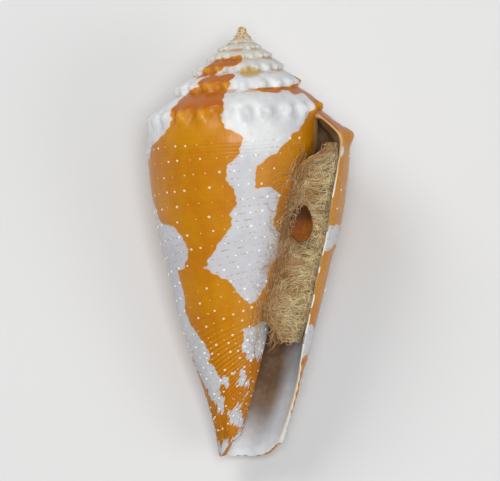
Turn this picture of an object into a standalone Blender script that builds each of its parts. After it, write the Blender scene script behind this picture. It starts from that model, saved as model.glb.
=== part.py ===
"""A nodulose cone shell lying on its back, mouth up, with a cotton wad and the operculum in the mouth.

Sizes are millimetres until a mesh is made. The shell is described in its own frame: its origin is
the apex and the coiling axis runs down from it, so a place on the shell is a depth below the apex,
a radius, and a turn count back from the lip. An azimuth grows from the lip's side (+X) towards the
side that the mouth faces (-Y).
"""

import math

import bmesh
import bpy
from mathutils import Euler, Matrix, Vector

MM = 0.001

# Driving dimensions of the whole shell
SHELL_LENGTH = 60.0
LIP_RADIUS = 15.6
SHOULDER_DEPTH = 15.2
TURN_RATIO = 0.72
DEPTH_RATIO = 0.712
LATE_DROOP = 0.5
LATE_DROOP_SPAN = (0.1, 1.4)
APEX_PINCH = 0.35
APEX_PINCH_SPAN = (4.0, 7.0)
LIP_AZIMUTH = 30.0
SPIRE_TURNS = 5.0
TIP_RADIUS = 0.62

# The flank of the last whorl: depth below the apex, and its radius as a share of LIP_RADIUS
FLANK = ((7.0, 0.975), (12.0, 0.99), (16.0, 0.99), (20.9, 0.965), (24.4, 0.936), (28.0, 0.897),
         (33.3, 0.815), (38.6, 0.735), (42.1, 0.677), (47.4, 0.592), (51.0, 0.526), (54.5, 0.460),
         (57.5, 0.400), (60.0, 0.345))

# The inner side of the mouth: a straight columella that ends in a narrow pillar beside the axis
COLUMELLA_DEPTH = 16.5
COLUMELLA_RADIUS = 10.6
COLUMELLA_TAPER = 0.268
COLUMELLA_TURN = 1.08
DRAW_IN_TURN = 0.55
PILLAR_OFFSET = 2.1
PILLAR_START = 49.0
PILLAR_RADIUS = 1.3
PILLAR_TAPER = 0.45

FLANK_FULLNESS = 0.2
FLANK_DRAW = 0.38

# The band between two sutures, as shares of the shoulder's radius
SUTURE_DROP = 0.11
SUTURE_DROP_AT_LIP = 0.04
SUTURE_SHARE = 0.985
RAMP_SWELL = 0.04
BAND_SHARES = (0.0, 0.45, 0.8, 1.0)

# Shoulder nodules
NODULES_PER_TURN = 20
NODULE_PHASE = 0.0125
NODULE_HEIGHT = 0.05
NODULE_FADE_TURN = 0.15

# The wall, the mouth and the canal
LIP_THICKNESS = 0.6
WALL_THICKNESS = 1.05
THICKENING_TURN = 0.25
SUTURE_WALL = 1.1
CAVITY_TURNS = 0.7
CANAL_TURNS = 0.36
CANAL_FLOOR_RISE = 22.0
LEAST_CLEARANCE = 0.5
SINUS_SWEEP = 7.0
SINUS_DEPTH = 14.0
BASE_SWEEP = 30.0
BASE_SWEEP_START = 43.0
SWEEP_TURN = 0.3
LIP_CORNER_RISE = 2.0
LIP_CORNER_TURN = 0.17
PILLAR_END_RISE = 3.0
PILLAR_END_START = 0.62

# Mesh density
STEPS_PER_TURN = 80
FLANK_SHARES = (0.0, 0.04, 0.1, 0.18, 0.28, 0.38, 0.48, 0.58, 0.68, 0.78, 0.88, 0.95, 1.0)

# How the shell lies: tilted so that the shoulder and the upper flank touch the table together
REST_TILT = 8.8
FLAT_DEPTH = 0.45

# Cotton wad, between the columella and the lip
GAP = 0.35
WAD_TOP = 15.8
WAD_BOTTOM = 43.6
WAD_STATIONS = 15
WAD_INNER_AZIMUTH = -40.0
WAD_OUTER_AZIMUTH = 47.0
WAD_SIDE_POINTS = 8
WAD_CROWN = 0.9

# Operculum: a thin oval plate that lies on the wad
OPERCULUM_LENGTH = 5.2
OPERCULUM_WIDTH = 3.2
OPERCULUM_THICKNESS = 0.4
OPERCULUM_DOME = 0.35
OPERCULUM_RINGS = 4
OPERCULUM_POINTS = 24
OPERCULUM_PLACE = (8.2, -7.75, -27.4)
OPERCULUM_LEAN = (-4.0, 6.0, 12.0)


def smooth(value):
    """Eased step from 0 to 1."""
    value = min(max(value, 0.0), 1.0)
    return value * value * (3.0 - 2.0 * value)


def between(table, place):
    """Straight-line value of a table of (place, value) pairs."""
    if place <= table[0][0]:
        return table[0][1]
    for (start, low), (end, high) in zip(table, table[1:]):
        if place <= end:
            return low + (high - low) * (place - start) / (end - start)
    return table[-1][1]


def shoulder_radius(turn):
    start, end = APEX_PINCH_SPAN
    pinch = APEX_PINCH * smooth((turn - start) / (end - start))
    return LIP_RADIUS * TURN_RATIO ** turn * (1.0 - pinch)


def shoulder_depth(turn):
    """Depth of the shoulder, which droops a little along the last turn."""
    start, end = LATE_DROOP_SPAN
    share = min(max((turn - start) / (end - start), 0.0), 1.0)
    return SHOULDER_DEPTH * DEPTH_RATIO ** turn + LATE_DROOP * math.sin(math.pi * share)


def suture(turn):
    """Radius and depth of the suture at the top of the band: just under the shoulder one turn in."""
    radius = shoulder_radius(turn + 1.0)
    drop = SUTURE_DROP_AT_LIP + (SUTURE_DROP - SUTURE_DROP_AT_LIP) * smooth(turn / 0.5)
    return radius * SUTURE_SHARE, shoulder_depth(turn + 1.0) + drop * radius


def axis_shift(depth):
    """How far the pillar's middle has moved off the coiling axis, away from the lip."""
    return -PILLAR_OFFSET * smooth((depth - PILLAR_START) / (SHELL_LENGTH - PILLAR_START))


def flank_radius(turn, depth):
    """Radius of the whorl's flank, drawn in to the straight columella over its last half turn."""
    fullness = FLANK_FULLNESS * smooth((depth - shoulder_depth(turn)) / 4.0)
    fullness -= FLANK_DRAW * smooth((depth - 38.0) / 16.0)
    outside = LIP_RADIUS * between(FLANK, depth) - (LIP_RADIUS - shoulder_radius(turn)) * (1.0 - fullness)
    columella = COLUMELLA_RADIUS - COLUMELLA_TAPER * (depth - COLUMELLA_DEPTH)
    columella = min(columella, COLUMELLA_RADIUS)
    columella += shoulder_radius(turn) - shoulder_radius(COLUMELLA_TURN)
    share = smooth((turn - DRAW_IN_TURN) / (COLUMELLA_TURN - DRAW_IN_TURN))
    return outside + (columella - outside) * share


def azimuth(turn):
    return math.radians(LIP_AZIMUTH - 360.0 * turn)


def pillar_radius(depth):
    return PILLAR_RADIUS - PILLAR_TAPER * smooth((depth - PILLAR_START) / (SHELL_LENGTH - PILLAR_START))


def centred_radius(turn, radius, depth):
    """The same radius, measured from the pillar's middle, and never inside the pillar."""
    return max(radius - axis_shift(depth) * math.cos(azimuth(turn)), pillar_radius(depth))


def place(turn, centred, depth):
    """Point at a turn, a radius from the pillar's middle and a depth."""
    angle = azimuth(turn)
    return Vector((axis_shift(depth) + centred * math.cos(angle), -centred * math.sin(angle), -depth)) * MM


def sweep(turn, depth):
    """Turn count at the depth, moved back near the mouth by the sinus and by the rounded base."""
    top = suture(0.0)[1]
    back = SINUS_SWEEP * (1.0 - smooth((depth - top) / SINUS_DEPTH))
    back += BASE_SWEEP * smooth((depth - BASE_SWEEP_START) / (SHELL_LENGTH - BASE_SWEEP_START))
    return turn + back / 360.0 * max(0.0, 1.0 - turn / SWEEP_TURN) ** 2


def nodule(turn):
    """Height of the nodules on the shoulder, from -0.5 in a dip to 0.5 on a crest."""
    wave = math.cos(2.0 * math.pi * NODULES_PER_TURN * (turn - NODULE_PHASE))
    return 0.5 * wave * (0.25 + 0.75 * smooth(turn / NODULE_FADE_TURN))


def rim_depth(turn):
    """Depth of the lower rim, which rises at the lip's corner and at the pillar's end."""
    corner = LIP_CORNER_RISE * (1.0 - smooth(turn / LIP_CORNER_TURN))
    pillar = PILLAR_END_RISE * smooth((turn - PILLAR_END_START) / (1.0 - PILLAR_END_START))
    return SHELL_LENGTH - corner - pillar


def band_point(turn, share, with_nodules=True):
    """Point on the ramp from the suture out to the shoulder."""
    inner_radius, inner_depth = suture(turn)
    radius, depth = shoulder_radius(turn), shoulder_depth(turn)
    bump = nodule(turn) * smooth((share - 0.15) / 0.6) * NODULE_HEIGHT * radius if with_nodules else 0.0
    swell = RAMP_SWELL * radius * math.sin(math.pi * share) * smooth(turn / 0.5)
    here_radius = inner_radius + (radius - inner_radius) * share + bump
    here_depth = inner_depth + (depth - inner_depth) * share - 0.6 * bump - swell
    return here_radius, here_depth


def flank_point(turn, share, last_depth, first_depth):
    """Point on the flank, with the nodules' feet still showing in its first rows."""
    depth = first_depth + (last_depth - first_depth) * share
    radius = flank_radius(turn, depth)
    feet = 1.0 - smooth((depth - shoulder_depth(turn)) / (0.28 * shoulder_radius(turn)))
    return radius + feet * nodule(turn) * NODULE_HEIGHT * shoulder_radius(turn), depth


def flank_start(turn):
    """Depth where the last whorl's flank takes over from its shoulder."""
    return shoulder_depth(turn) + SUTURE_DROP_AT_LIP * shoulder_radius(turn)


def mouth_depth(turn):
    """Depth of the corner where the roof of the cavity meets the whorl inside it."""
    return suture(turn)[1] + SUTURE_WALL


def floor_depth(turn):
    """Depth where the cavity ends: the open rim in the canal, then a floor that rises."""
    rise = CANAL_FLOOR_RISE * smooth((turn - CANAL_TURNS) / (CAVITY_TURNS - CANAL_TURNS))
    return rim_depth(turn) - rise


def wall(turn):
    return LIP_THICKNESS + (WALL_THICKNESS - LIP_THICKNESS) * smooth(turn / THICKENING_TURN)


def outer_section(turn):
    """Places down the outside of the last whorl, from its suture to its rim."""
    rows = [band_point(turn, share) for share in BAND_SHARES]
    first = flank_start(turn)
    rows += [flank_point(turn, share, rim_depth(turn), first) for share in FLANK_SHARES]
    places = []
    for radius, depth in rows:
        moved = sweep(turn, depth)
        if moved != turn:
            slip = flank_radius(moved, depth) - flank_radius(turn, depth)
            radius += slip
        places.append(place(moved, centred_radius(moved, radius, depth), depth))
    return places


def columella_section(turn):
    """Places down the whorl inside the mouth, from the roof's corner to the cavity's end."""
    first, last = mouth_depth(turn - 1.0), floor_depth(turn - 1.0)
    if turn <= 1.0:
        last = rim_depth(1.0)
    places = []
    for share in FLANK_SHARES[1:]:
        depth = first + (last - first) * (share - FLANK_SHARES[1]) / (1.0 - FLANK_SHARES[1])
        radius = flank_radius(turn, depth)
        places.append(place(turn, centred_radius(turn, radius, depth), depth))
    return places


def lining_section(turn):
    """Places down the inside of the wall, one for each place outside but the first."""
    thick = wall(turn)
    rows = [band_point(turn, share, False) for share in BAND_SHARES[1:]]
    first, last = flank_start(turn), floor_depth(turn)
    rows += [(None, first + (last - first) * share) for share in FLANK_SHARES]
    roof = len(BAND_SHARES) - 1
    places = []
    for index, (radius, depth) in enumerate(rows):
        moved = sweep(turn, depth)
        if index < roof:
            slope = (index + 1.0) / roof
            depth += thick * (1.3 - 0.3 * slope)
            radius -= thick * slope
            radius += flank_radius(moved, depth) - flank_radius(turn, depth)
        else:
            ease = (1.0 - smooth((index - roof) / 2.0)) * 0.25 * thick
            radius = flank_radius(moved, depth) - thick - ease
        inner = centred_radius(moved + 1.0, flank_radius(moved + 1.0, depth), depth)
        centred = max(centred_radius(moved, radius, depth), inner + LEAST_CLEARANCE)
        places.append(place(moved, centred, depth))
    return places


def strip(mesh, columns):
    """Quads between neighbouring columns of vertices, skipping faces that have closed up."""
    for left, right in zip(columns, columns[1:]):
        for row in range(len(left) - 1):
            corners = []
            for vertex in (left[row], left[row + 1], right[row + 1], right[row]):
                if vertex not in corners:
                    corners.append(vertex)
            if len(corners) > 2:
                mesh.faces.new(corners)


def spire_columns(mesh, turns_in_steps):
    """Vertices of the bands above the last whorl; a band's last row is the next band's suture."""
    columns = []
    for step in range(turns_in_steps + 1):
        turn = step / STEPS_PER_TURN
        points = [band_point(turn, share) for share in BAND_SHARES]
        columns.append([mesh.verts.new(place(turn, radius, depth)) for radius, depth in points])
    return columns


def apex_cap(mesh, rim):
    """Close the top with two rings and a rounded tip."""
    tip = mesh.verts.new((0.0, 0.0, 0.0))
    ring = []
    for vertex in rim:
        away = Vector((vertex.co.x, vertex.co.y, 0.0))
        ring.append(mesh.verts.new(away.normalized() * TIP_RADIUS * MM + Vector((0.0, 0.0, -0.55 * MM))))
    strip(mesh, list(zip(rim, ring)))
    for left, right in zip(ring, ring[1:]):
        mesh.faces.new((left, right, tip))
    return ring, tip


def build_shell_mesh():
    """The shell as one closed surface: outside, lip, lining, columella, rim, canal and cavity end."""
    mesh = bmesh.new()
    whole = STEPS_PER_TURN
    spire_steps = int(SPIRE_TURNS * whole)
    bands = spire_columns(mesh, spire_steps)
    cavity_steps = round(CAVITY_TURNS * whole)
    canal_steps = round(CANAL_TURNS * whole)
    roof = len(BAND_SHARES)

    # The last whorl: its first step is the lip
    outside = []
    for step in range(whole):
        points = outer_section(step / whole)
        for vertex, point in zip(bands[step], points[:roof]):
            vertex.co = point
        outside.append(bands[step] + [mesh.verts.new(point) for point in points[roof:]])

    inside = []
    for step in range(cavity_steps + 1):
        points = columella_section(1.0 + step / whole)
        inside.append([mesh.verts.new(point) for point in points])
    closing = bands[whole] + [bands[0][0]] + inside[0]
    strip(mesh, outside + [closing])
    strip(mesh, inside)

    # Spire: each band ends at the suture of the band one turn nearer to the lip
    spire = [bands[step] + [bands[step - whole][0]] for step in range(whole, spire_steps + 1)]
    strip(mesh, spire)
    last_turn = [bands[step][0] for step in range(spire_steps - whole, spire_steps + 1)]
    ring, tip = apex_cap(mesh, last_turn)
    end = spire[-1][:-1]
    mesh.faces.new(end + [last_turn[0], ring[0], tip, ring[-1]])

    # Lip, lining and roof
    lining = []
    for step in range(cavity_steps + 1):
        points = lining_section(step / whole)
        lining.append([inside[step][0]] + [mesh.verts.new(point) for point in points])
    strip(mesh, lining)
    strip(mesh, [lining[0], outside[0]])

    # Rim of the canal, the pillar's end, the cavity's floor and its far end
    strip(mesh, list(zip([column[-1] for column in outside[:canal_steps + 1]],
                         [column[-1] for column in lining[:canal_steps + 1]])))
    strip(mesh, list(zip([column[-1] for column in lining[canal_steps:]],
                         [column[-1] for column in inside[canal_steps:]])))
    pillar = [column[-1] for column in outside[canal_steps:]]
    pillar += [column[-1] for column in inside[:canal_steps + 1]]
    mesh.faces.new(pillar + [lining[canal_steps][-1]])
    mesh.faces.new(lining[-1] + inside[-1][:0:-1])

    bmesh.ops.remove_doubles(mesh, verts=mesh.verts, dist=0.01 * MM)
    bmesh.ops.triangulate(mesh, faces=mesh.faces)
    bmesh.ops.recalc_face_normals(mesh, faces=mesh.faces)
    return mesh


def roof_radius(turn, depth):
    """Radius at which the roof under the ramp comes down to the depth."""
    inner_radius, inner_depth = suture(turn)
    slope = (shoulder_radius(turn) - inner_radius) / (shoulder_depth(turn) - inner_depth)
    return inner_radius + (depth - mouth_depth(turn) - GAP) * slope


def wad_section(depth, swell):
    """Outline of the wad at a depth, drawn together to its middle where swell is small."""
    start, end = math.radians(WAD_INNER_AZIMUTH), math.radians(WAD_OUTER_AZIMUTH)
    mouth = math.radians(LIP_AZIMUTH - 5.0)
    near, far = [], []
    for index in range(WAD_SIDE_POINTS):
        share = 0.5 + (index / (WAD_SIDE_POINTS - 1) - 0.5) * swell
        angle = start + (end - start) * share
        turn = (LIP_AZIMUTH - math.degrees(angle)) / 360.0
        low = flank_radius(turn + 1.0, depth) + GAP
        high = flank_radius(max(turn, 0.0), depth) - 1.25 * wall(max(turn, 0.0)) - GAP
        high = min(high, roof_radius(max(turn, 0.0), depth))
        if angle > mouth:
            fall = (angle - mouth) / (end - mouth)
            high = high + (low + 0.3 - high) * fall + WAD_CROWN * math.sin(math.pi * fall)
        spare = 0.5 * (1.0 - swell) * (high - low)
        near.append((low + spare, angle))
        far.append((high - spare, angle))
    return [(r * math.cos(a), -r * math.sin(a)) for r, a in near + far[::-1]]


def build_wad_mesh():
    """The wad as a loft down the mouth, with rounded ends."""
    mesh = bmesh.new()
    rings = []
    for station in range(WAD_STATIONS):
        share = station / (WAD_STATIONS - 1)
        eased = 0.5 - 0.5 * math.cos(math.pi * share)
        depth = WAD_TOP + (WAD_BOTTOM - WAD_TOP) * (0.35 * eased + 0.65 * share)
        swell = max(math.sin(math.pi * share), 0.02) ** 0.3
        outline = wad_section(depth, swell)
        rings.append([mesh.verts.new((x * MM, y * MM, -depth * MM)) for x, y in outline])
    strip(mesh, [ring + ring[:1] for ring in rings])
    mesh.faces.new(rings[0])
    mesh.faces.new(rings[-1])
    bmesh.ops.triangulate(mesh, faces=mesh.faces)
    bmesh.ops.recalc_face_normals(mesh, faces=mesh.faces)
    return mesh


def build_operculum_mesh():
    """A thin oval plate, domed towards the side that shows."""
    mesh = bmesh.new()
    layers = []
    for side in (1.0, -1.0):
        rings = []
        for ring in range(OPERCULUM_RINGS, 0, -1):
            share = ring / OPERCULUM_RINGS
            height = OPERCULUM_DOME * (1.0 - share * share)
            height += side * 0.5 * OPERCULUM_THICKNESS * math.sqrt(1.0 - 0.8 * share * share)
            points = []
            for index in range(OPERCULUM_POINTS):
                angle = 2.0 * math.pi * index / OPERCULUM_POINTS
                narrow = 1.0 - 0.16 * math.cos(angle)
                across = 0.5 * OPERCULUM_WIDTH * share * math.sin(angle) * narrow
                along = 0.5 * OPERCULUM_LENGTH * share * math.cos(angle)
                points.append(mesh.verts.new((across * MM, -height * MM, along * MM)))
            rings.append(points + points[:1])
        strip(mesh, rings)
        top = OPERCULUM_DOME + side * 0.5 * OPERCULUM_THICKNESS
        middle = mesh.verts.new((0.0, -top * MM, 0.0))
        for left, right in zip(rings[-1], rings[-1][1:]):
            mesh.faces.new((left, right, middle))
        layers.append(rings[0])
    strip(mesh, layers)
    bmesh.ops.triangulate(mesh, faces=mesh.faces)
    bmesh.ops.recalc_face_normals(mesh, faces=mesh.faces)
    return mesh


def rest_placement(points):
    """Lays the shell down, apex towards +Y and mouth up, over the middle of its box."""
    turn = Euler((math.radians(REST_TILT - 90.0), 0.0, 0.0)).to_matrix()
    moved = [turn @ point for point in points]
    middle_x = 0.5 * (min(point.x for point in moved) + max(point.x for point in moved))
    middle_y = 0.5 * (min(point.y for point in moved) + max(point.y for point in moved))
    floor = min(point.z for point in moved) + FLAT_DEPTH * MM
    return Matrix.Translation((-middle_x, -middle_y, -floor)) @ turn.to_4x4()


def make_material(name, colour, roughness):
    material = bpy.data.materials.new(name)
    material.use_nodes = True
    shader = material.node_tree.nodes["Principled BSDF"]
    shader.inputs["Base Color"].default_value = (*colour, 1.0)
    shader.inputs["Roughness"].default_value = roughness
    shader.inputs["Metallic"].default_value = 0.0
    return material


def make_object(name, mesh, material, placement):
    data = bpy.data.meshes.new(name)
    mesh.to_mesh(data)
    mesh.free()
    data.materials.append(material)
    data.shade_smooth()
    data.set_sharp_from_angle(angle=math.radians(50.0))
    made = bpy.data.objects.new(name, data)
    bpy.context.scene.collection.objects.link(made)
    made.matrix_world = placement
    return made


def cut_rest_flats(shell):
    """Trim what reaches below the table, so that the shell rests on small flat spots."""
    box = bmesh.new()
    bmesh.ops.create_cube(box, size=1.0)
    bmesh.ops.scale(box, vec=(0.1, 0.1, 0.02), verts=box.verts)
    bmesh.ops.translate(box, vec=(0.0, 0.0, -0.01), verts=box.verts)
    data = bpy.data.meshes.new("rest_cutter")
    box.to_mesh(data)
    box.free()
    cutter = bpy.data.objects.new("rest_cutter", data)
    bpy.context.scene.collection.objects.link(cutter)
    cutter.hide_render = True
    cutter.display_type = "WIRE"
    cut = shell.modifiers.new("rest_flats", "BOOLEAN")
    cut.operation = "DIFFERENCE"
    cut.solver = "EXACT"
    cut.object = cutter


def main():
    for old in list(bpy.data.objects):
        bpy.data.objects.remove(old)
    shell_mesh = build_shell_mesh()
    placement = rest_placement([vertex.co.copy() for vertex in shell_mesh.verts])
    shell = make_object("shell", shell_mesh, make_material("shell", (0.52, 0.21, 0.03), 0.32), placement)
    cut_rest_flats(shell)
    cotton = make_material("cotton", (0.62, 0.52, 0.36), 0.95)
    make_object("cotton_wad", build_wad_mesh(), cotton, placement)
    horn = make_material("horn", (0.28, 0.11, 0.02), 0.35)
    lean = Euler([math.radians(angle) for angle in OPERCULUM_LEAN]).to_matrix().to_4x4()
    lie = placement @ Matrix.Translation(Vector(OPERCULUM_PLACE) * MM) @ lean
    make_object("operculum", build_operculum_mesh(), horn, lie)


main()
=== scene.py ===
"""A cone shell lying mouth up, with a cotton wad and its operculum, dressed for close views.

Lengths in the geometry classes are millimetres. A place on the shell is a turn count back from the
lip, a radius from the coiling axis and a depth below the apex.
"""
import logging
from collections.abc import Callable
from dataclasses import dataclass, field
from enum import Enum

import bmesh
import bpy
import numpy as np
from mathutils import Matrix, Vector


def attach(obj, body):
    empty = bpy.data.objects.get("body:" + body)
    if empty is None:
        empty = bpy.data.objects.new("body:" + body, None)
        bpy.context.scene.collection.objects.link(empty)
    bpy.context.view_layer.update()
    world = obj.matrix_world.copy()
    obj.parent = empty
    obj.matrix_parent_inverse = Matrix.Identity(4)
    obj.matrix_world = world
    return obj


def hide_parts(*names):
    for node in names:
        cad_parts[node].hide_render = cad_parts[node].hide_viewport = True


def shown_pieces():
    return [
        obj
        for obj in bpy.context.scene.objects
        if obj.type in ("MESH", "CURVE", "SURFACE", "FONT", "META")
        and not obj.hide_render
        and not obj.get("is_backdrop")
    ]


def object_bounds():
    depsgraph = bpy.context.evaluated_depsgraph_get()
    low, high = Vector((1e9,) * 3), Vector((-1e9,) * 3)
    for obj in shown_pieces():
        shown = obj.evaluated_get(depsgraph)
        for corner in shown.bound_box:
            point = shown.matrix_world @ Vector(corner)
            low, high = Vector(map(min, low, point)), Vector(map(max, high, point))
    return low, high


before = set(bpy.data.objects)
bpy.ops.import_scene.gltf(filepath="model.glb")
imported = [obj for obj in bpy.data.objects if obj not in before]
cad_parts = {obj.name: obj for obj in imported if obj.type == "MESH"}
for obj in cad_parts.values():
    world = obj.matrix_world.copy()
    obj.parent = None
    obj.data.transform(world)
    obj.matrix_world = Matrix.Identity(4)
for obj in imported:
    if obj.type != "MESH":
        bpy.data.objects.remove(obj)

CAD_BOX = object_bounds()
LOG = logging.getLogger("cone_shell")
MM = 0.001

# Signed distance of a place far outside an outline, in millimetres
FAR = -6.0

Array = np.ndarray
DepthRule = Callable[[Array], Array]
Socket = bpy.types.NodeSocket
Pair = tuple[float, float]
Points = tuple[Pair, ...]
Colour = tuple[int, int, int]


def eased(value: Array | float) -> Array | float:
    """Step from 0 to 1 with level ends: v * v * (3 - 2v), clipped."""
    held = np.clip(value, 0.0, 1.0)
    return held * held * (3.0 - 2.0 * held)


def through(table: Points, at: Array) -> Array:
    """Smooth curve through a few points: cubic pieces whose slopes are taken from the neighbours.

    Args:
        table: Places and values, in rising order of place.
        at: Places to read.
    Returns:
        The value at each place, held level past the ends.
    """
    knots, values = np.array(table).T
    slopes = np.gradient(values, knots)
    at = np.clip(at, knots[0], knots[-1])
    cell = np.clip(np.searchsorted(knots, at, side="right") - 1, 0, len(knots) - 2)
    width = knots[cell + 1] - knots[cell]
    t = (at - knots[cell]) / width
    low = values[cell] * (1.0 + 2.0 * t) * (1.0 - t) ** 2 + slopes[cell] * width * t * (1.0 - t) ** 2
    high = values[cell + 1] * t * t * (3.0 - 2.0 * t) + slopes[cell + 1] * width * t * t * (t - 1.0)
    return low + high


def wander(at: Array, seed: int, waves: int = 5) -> Array:
    """Smooth irregular wave between about -1 and 1: a sum of sines with seeded rates and phases.

    Args:
        at: Places along the line, one unit for each main wave.
        seed: Picks the wave.
        waves: How many sines are added.
    Returns:
        The wave's value at each place.
    """
    random = np.random.default_rng(seed)
    total = np.zeros_like(np.asarray(at, dtype=float))
    for number in range(waves):
        rate = (0.6 + 0.55 * number) * random.uniform(0.8, 1.2)
        total += np.sin(2.0 * np.pi * (rate * at + random.uniform())) / (1.0 + 0.5 * number)
    return total / 1.9


def unit(vectors: Array) -> Array:
    """The vectors along the last axis, at length 1."""
    return vectors / np.maximum(np.linalg.norm(vectors, axis=-1, keepdims=True), 1e-9)


def polar(radius: Array, angle: Array, depth: Array) -> Array:
    """Points (r cos a, -r sin a, -depth), as an array with a last axis of three."""
    return np.stack((radius * np.cos(angle), -radius * np.sin(angle), -depth + 0.0 * angle), axis=-1)


def linked(name: str, data: bpy.types.ID) -> bpy.types.Object:
    """Makes an object of the data and links it into the scene."""
    made = bpy.data.objects.new(name, data)
    bpy.context.scene.collection.objects.link(made)
    return made


@dataclass(frozen=True)
class Growth:
    """The coil of the shell as formulas of the turn count and the depth."""

    length: float = 60.0
    lip_radius: float = 15.6
    shoulder_low: float = 15.2
    turn_ratio: float = 0.72
    depth_ratio: float = 0.712
    droop: float = 0.5
    droop_span: Pair = (0.1, 1.4)
    pinch: float = 0.35
    pinch_span: Pair = (4.0, 7.0)
    lip_azimuth: float = 30.0
    flank_shares: Points = (
        (7.0, 0.975), (12.0, 0.99), (16.0, 0.99), (20.9, 0.965), (24.4, 0.936), (28.0, 0.897),
        (33.3, 0.815), (38.6, 0.735), (42.1, 0.677), (47.4, 0.592), (51.0, 0.526), (54.5, 0.460),
        (57.5, 0.400), (60.0, 0.345))
    columella: tuple[float, float, float] = (16.5, 10.6, 0.268)
    columella_turn: float = 1.08
    draw_in_turn: float = 0.55
    pillar_offset: float = 2.1
    pillar_start: float = 49.0
    pillar_size: Pair = (1.3, 0.45)
    fullness: Pair = (0.2, 0.38)
    suture_drop: float = 0.11
    suture_drop_at_lip: float = 0.04
    suture_share: float = 0.985
    ramp_swell: float = 0.04
    corner: float = 0.34
    knob_count: Points = ((0.0, -0.2), (0.9, 21.4), (1.3, 30.2), (8.0, 164.2))
    knob_height: float = 0.104
    knob_fade: float = 0.15
    lip_wall: float = 0.42
    full_wall: float = 1.05
    wall_turn: float = 0.25
    sinus: Pair = (7.0, 14.0)
    base_sweep: Pair = (30.0, 43.0)
    sweep_turn: float = 0.3
    canal_turns: float = 0.36
    cavity_turns: float = 0.7
    floor_rise: float = 22.0
    suture_wall: float = 1.1
    corner_rise: Pair = (2.0, 0.17)
    pillar_rise: Pair = (3.0, 0.62)
    clearance: float = 0.5
    row_climb: Points = (
        (0.0, 5.0), (20.0, 5.5), (26.0, 7.5), (31.0, 10.5), (39.0, 16.5), (45.0, 22.0), (52.0, 27.0),
        (60.0, 29.0))
    row_spacing: Points = (
        (0.0, 1.87), (30.0, 1.87), (35.0, 1.7), (40.0, 1.45), (45.0, 1.25), (50.0, 1.12), (60.0, 1.1))
    row_turn: float = 0.8
    first_row: float = 18.4

    def shoulder_radius(self, turn: Array) -> Array:
        """Shoulder radius: lip radius times ratio to the power of the turn, pinched by the apex."""
        start, end = self.pinch_span
        pinch = self.pinch * eased((turn - start) / (end - start))
        return self.lip_radius * self.turn_ratio ** turn * (1.0 - pinch)

    def shoulder_depth(self, turn: Array) -> Array:
        """Shoulder depth: a power of the turn, plus half a sine of droop along the last turn."""
        start, end = self.droop_span
        share = np.clip((turn - start) / (end - start), 0.0, 1.0)
        return self.shoulder_low * self.depth_ratio ** turn + self.droop * np.sin(np.pi * share)

    def suture(self, turn: Array) -> tuple[Array, Array]:
        """Radius and depth of the suture, just under the shoulder one turn in."""
        radius = self.shoulder_radius(turn + 1.0)
        gain = self.suture_drop - self.suture_drop_at_lip
        drop = self.suture_drop_at_lip + gain * eased(turn / 0.5)
        return radius * self.suture_share, self.shoulder_depth(turn + 1.0) + drop * radius

    def towards_end(self, depth: Array, start: float) -> Array:
        """Step from 0 at the start's depth to 1 at the shell's lower end."""
        return eased((depth - start) / (self.length - start))

    def axis_shift(self, depth: Array) -> Array:
        """Offset of the pillar's middle from the coiling axis, eased in towards the lower end."""
        return -self.pillar_offset * self.towards_end(depth, self.pillar_start)

    def pillar_radius(self, depth: Array) -> Array:
        """Least radius about the pillar's middle, which narrows towards the lower end."""
        size, taper = self.pillar_size
        return size - taper * self.towards_end(depth, self.pillar_start)

    def flank_radius(self, turn: Array, depth: Array) -> Array:
        """Radius of the flank: the lip's profile less the coil's growth, drawn in to the columella."""
        full, draw = self.fullness
        fullness = full * eased((depth - self.shoulder_depth(turn)) / 4.0)
        fullness = fullness - draw * eased((depth - 38.0) / 16.0)
        grown = self.lip_radius - self.shoulder_radius(turn)
        outside = self.lip_radius * through(self.flank_shares, depth) - grown * (1.0 - fullness)
        top, radius, taper = self.columella
        inner = np.minimum(radius - taper * (depth - top), radius)
        inner = inner + self.shoulder_radius(turn) - self.shoulder_radius(self.columella_turn)
        share = eased((turn - self.draw_in_turn) / (self.columella_turn - self.draw_in_turn))
        return outside + (inner - outside) * share

    def azimuth(self, turn: Array) -> Array:
        """Angle from +X towards the side that the mouth faces, in radians."""
        return np.radians(self.lip_azimuth - 360.0 * turn)

    def centred(self, turn: Array, radius: Array, depth: Array) -> Array:
        """The radius measured from the pillar's middle, never inside the pillar."""
        return np.maximum(radius - self.axis_shift(depth) * np.cos(self.azimuth(turn)),
                          self.pillar_radius(depth))

    def place(self, turn: Array, centred: Array, depth: Array) -> Array:
        """Points (shift + r cos a, -r sin a, -depth) as an array with a last axis of three."""
        angle = self.azimuth(turn)
        return np.stack((self.axis_shift(depth) + centred * np.cos(angle),
                         -centred * np.sin(angle), -depth + 0.0 * angle), axis=-1)

    def back(self, depth: Array) -> Array:
        """Degrees that the lip's edge lies back, for the sinus at the top and the rounded base."""
        top = self.suture(np.zeros(1))[1][0]
        back = self.sinus[0] * (1.0 - eased((depth - top) / self.sinus[1]))
        return back + self.base_sweep[0] * self.towards_end(depth, self.base_sweep[1])

    def swept(self, turn: Array, depth: Array) -> Array:
        """Turn moved back beside the lip, by the edge's sweep and some unevenness.

        Args:
            turn: Turn counts of the grid's columns.
            depth: Depths of the grid's points.
        Returns:
            turn + back(depth) * max(0, 1 - |turn - nearest whole turn| / span) ** 2.
        """
        top = self.suture(np.zeros(1))[1][0]
        back = self.back(depth) + 0.55 * wander(depth / 5.0, 3) * eased((depth - top) / 2.0)
        near = np.maximum(0.0, 1.0 - np.abs(turn - np.round(turn)) / self.sweep_turn) ** 2
        return turn + back / 360.0 * near

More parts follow.
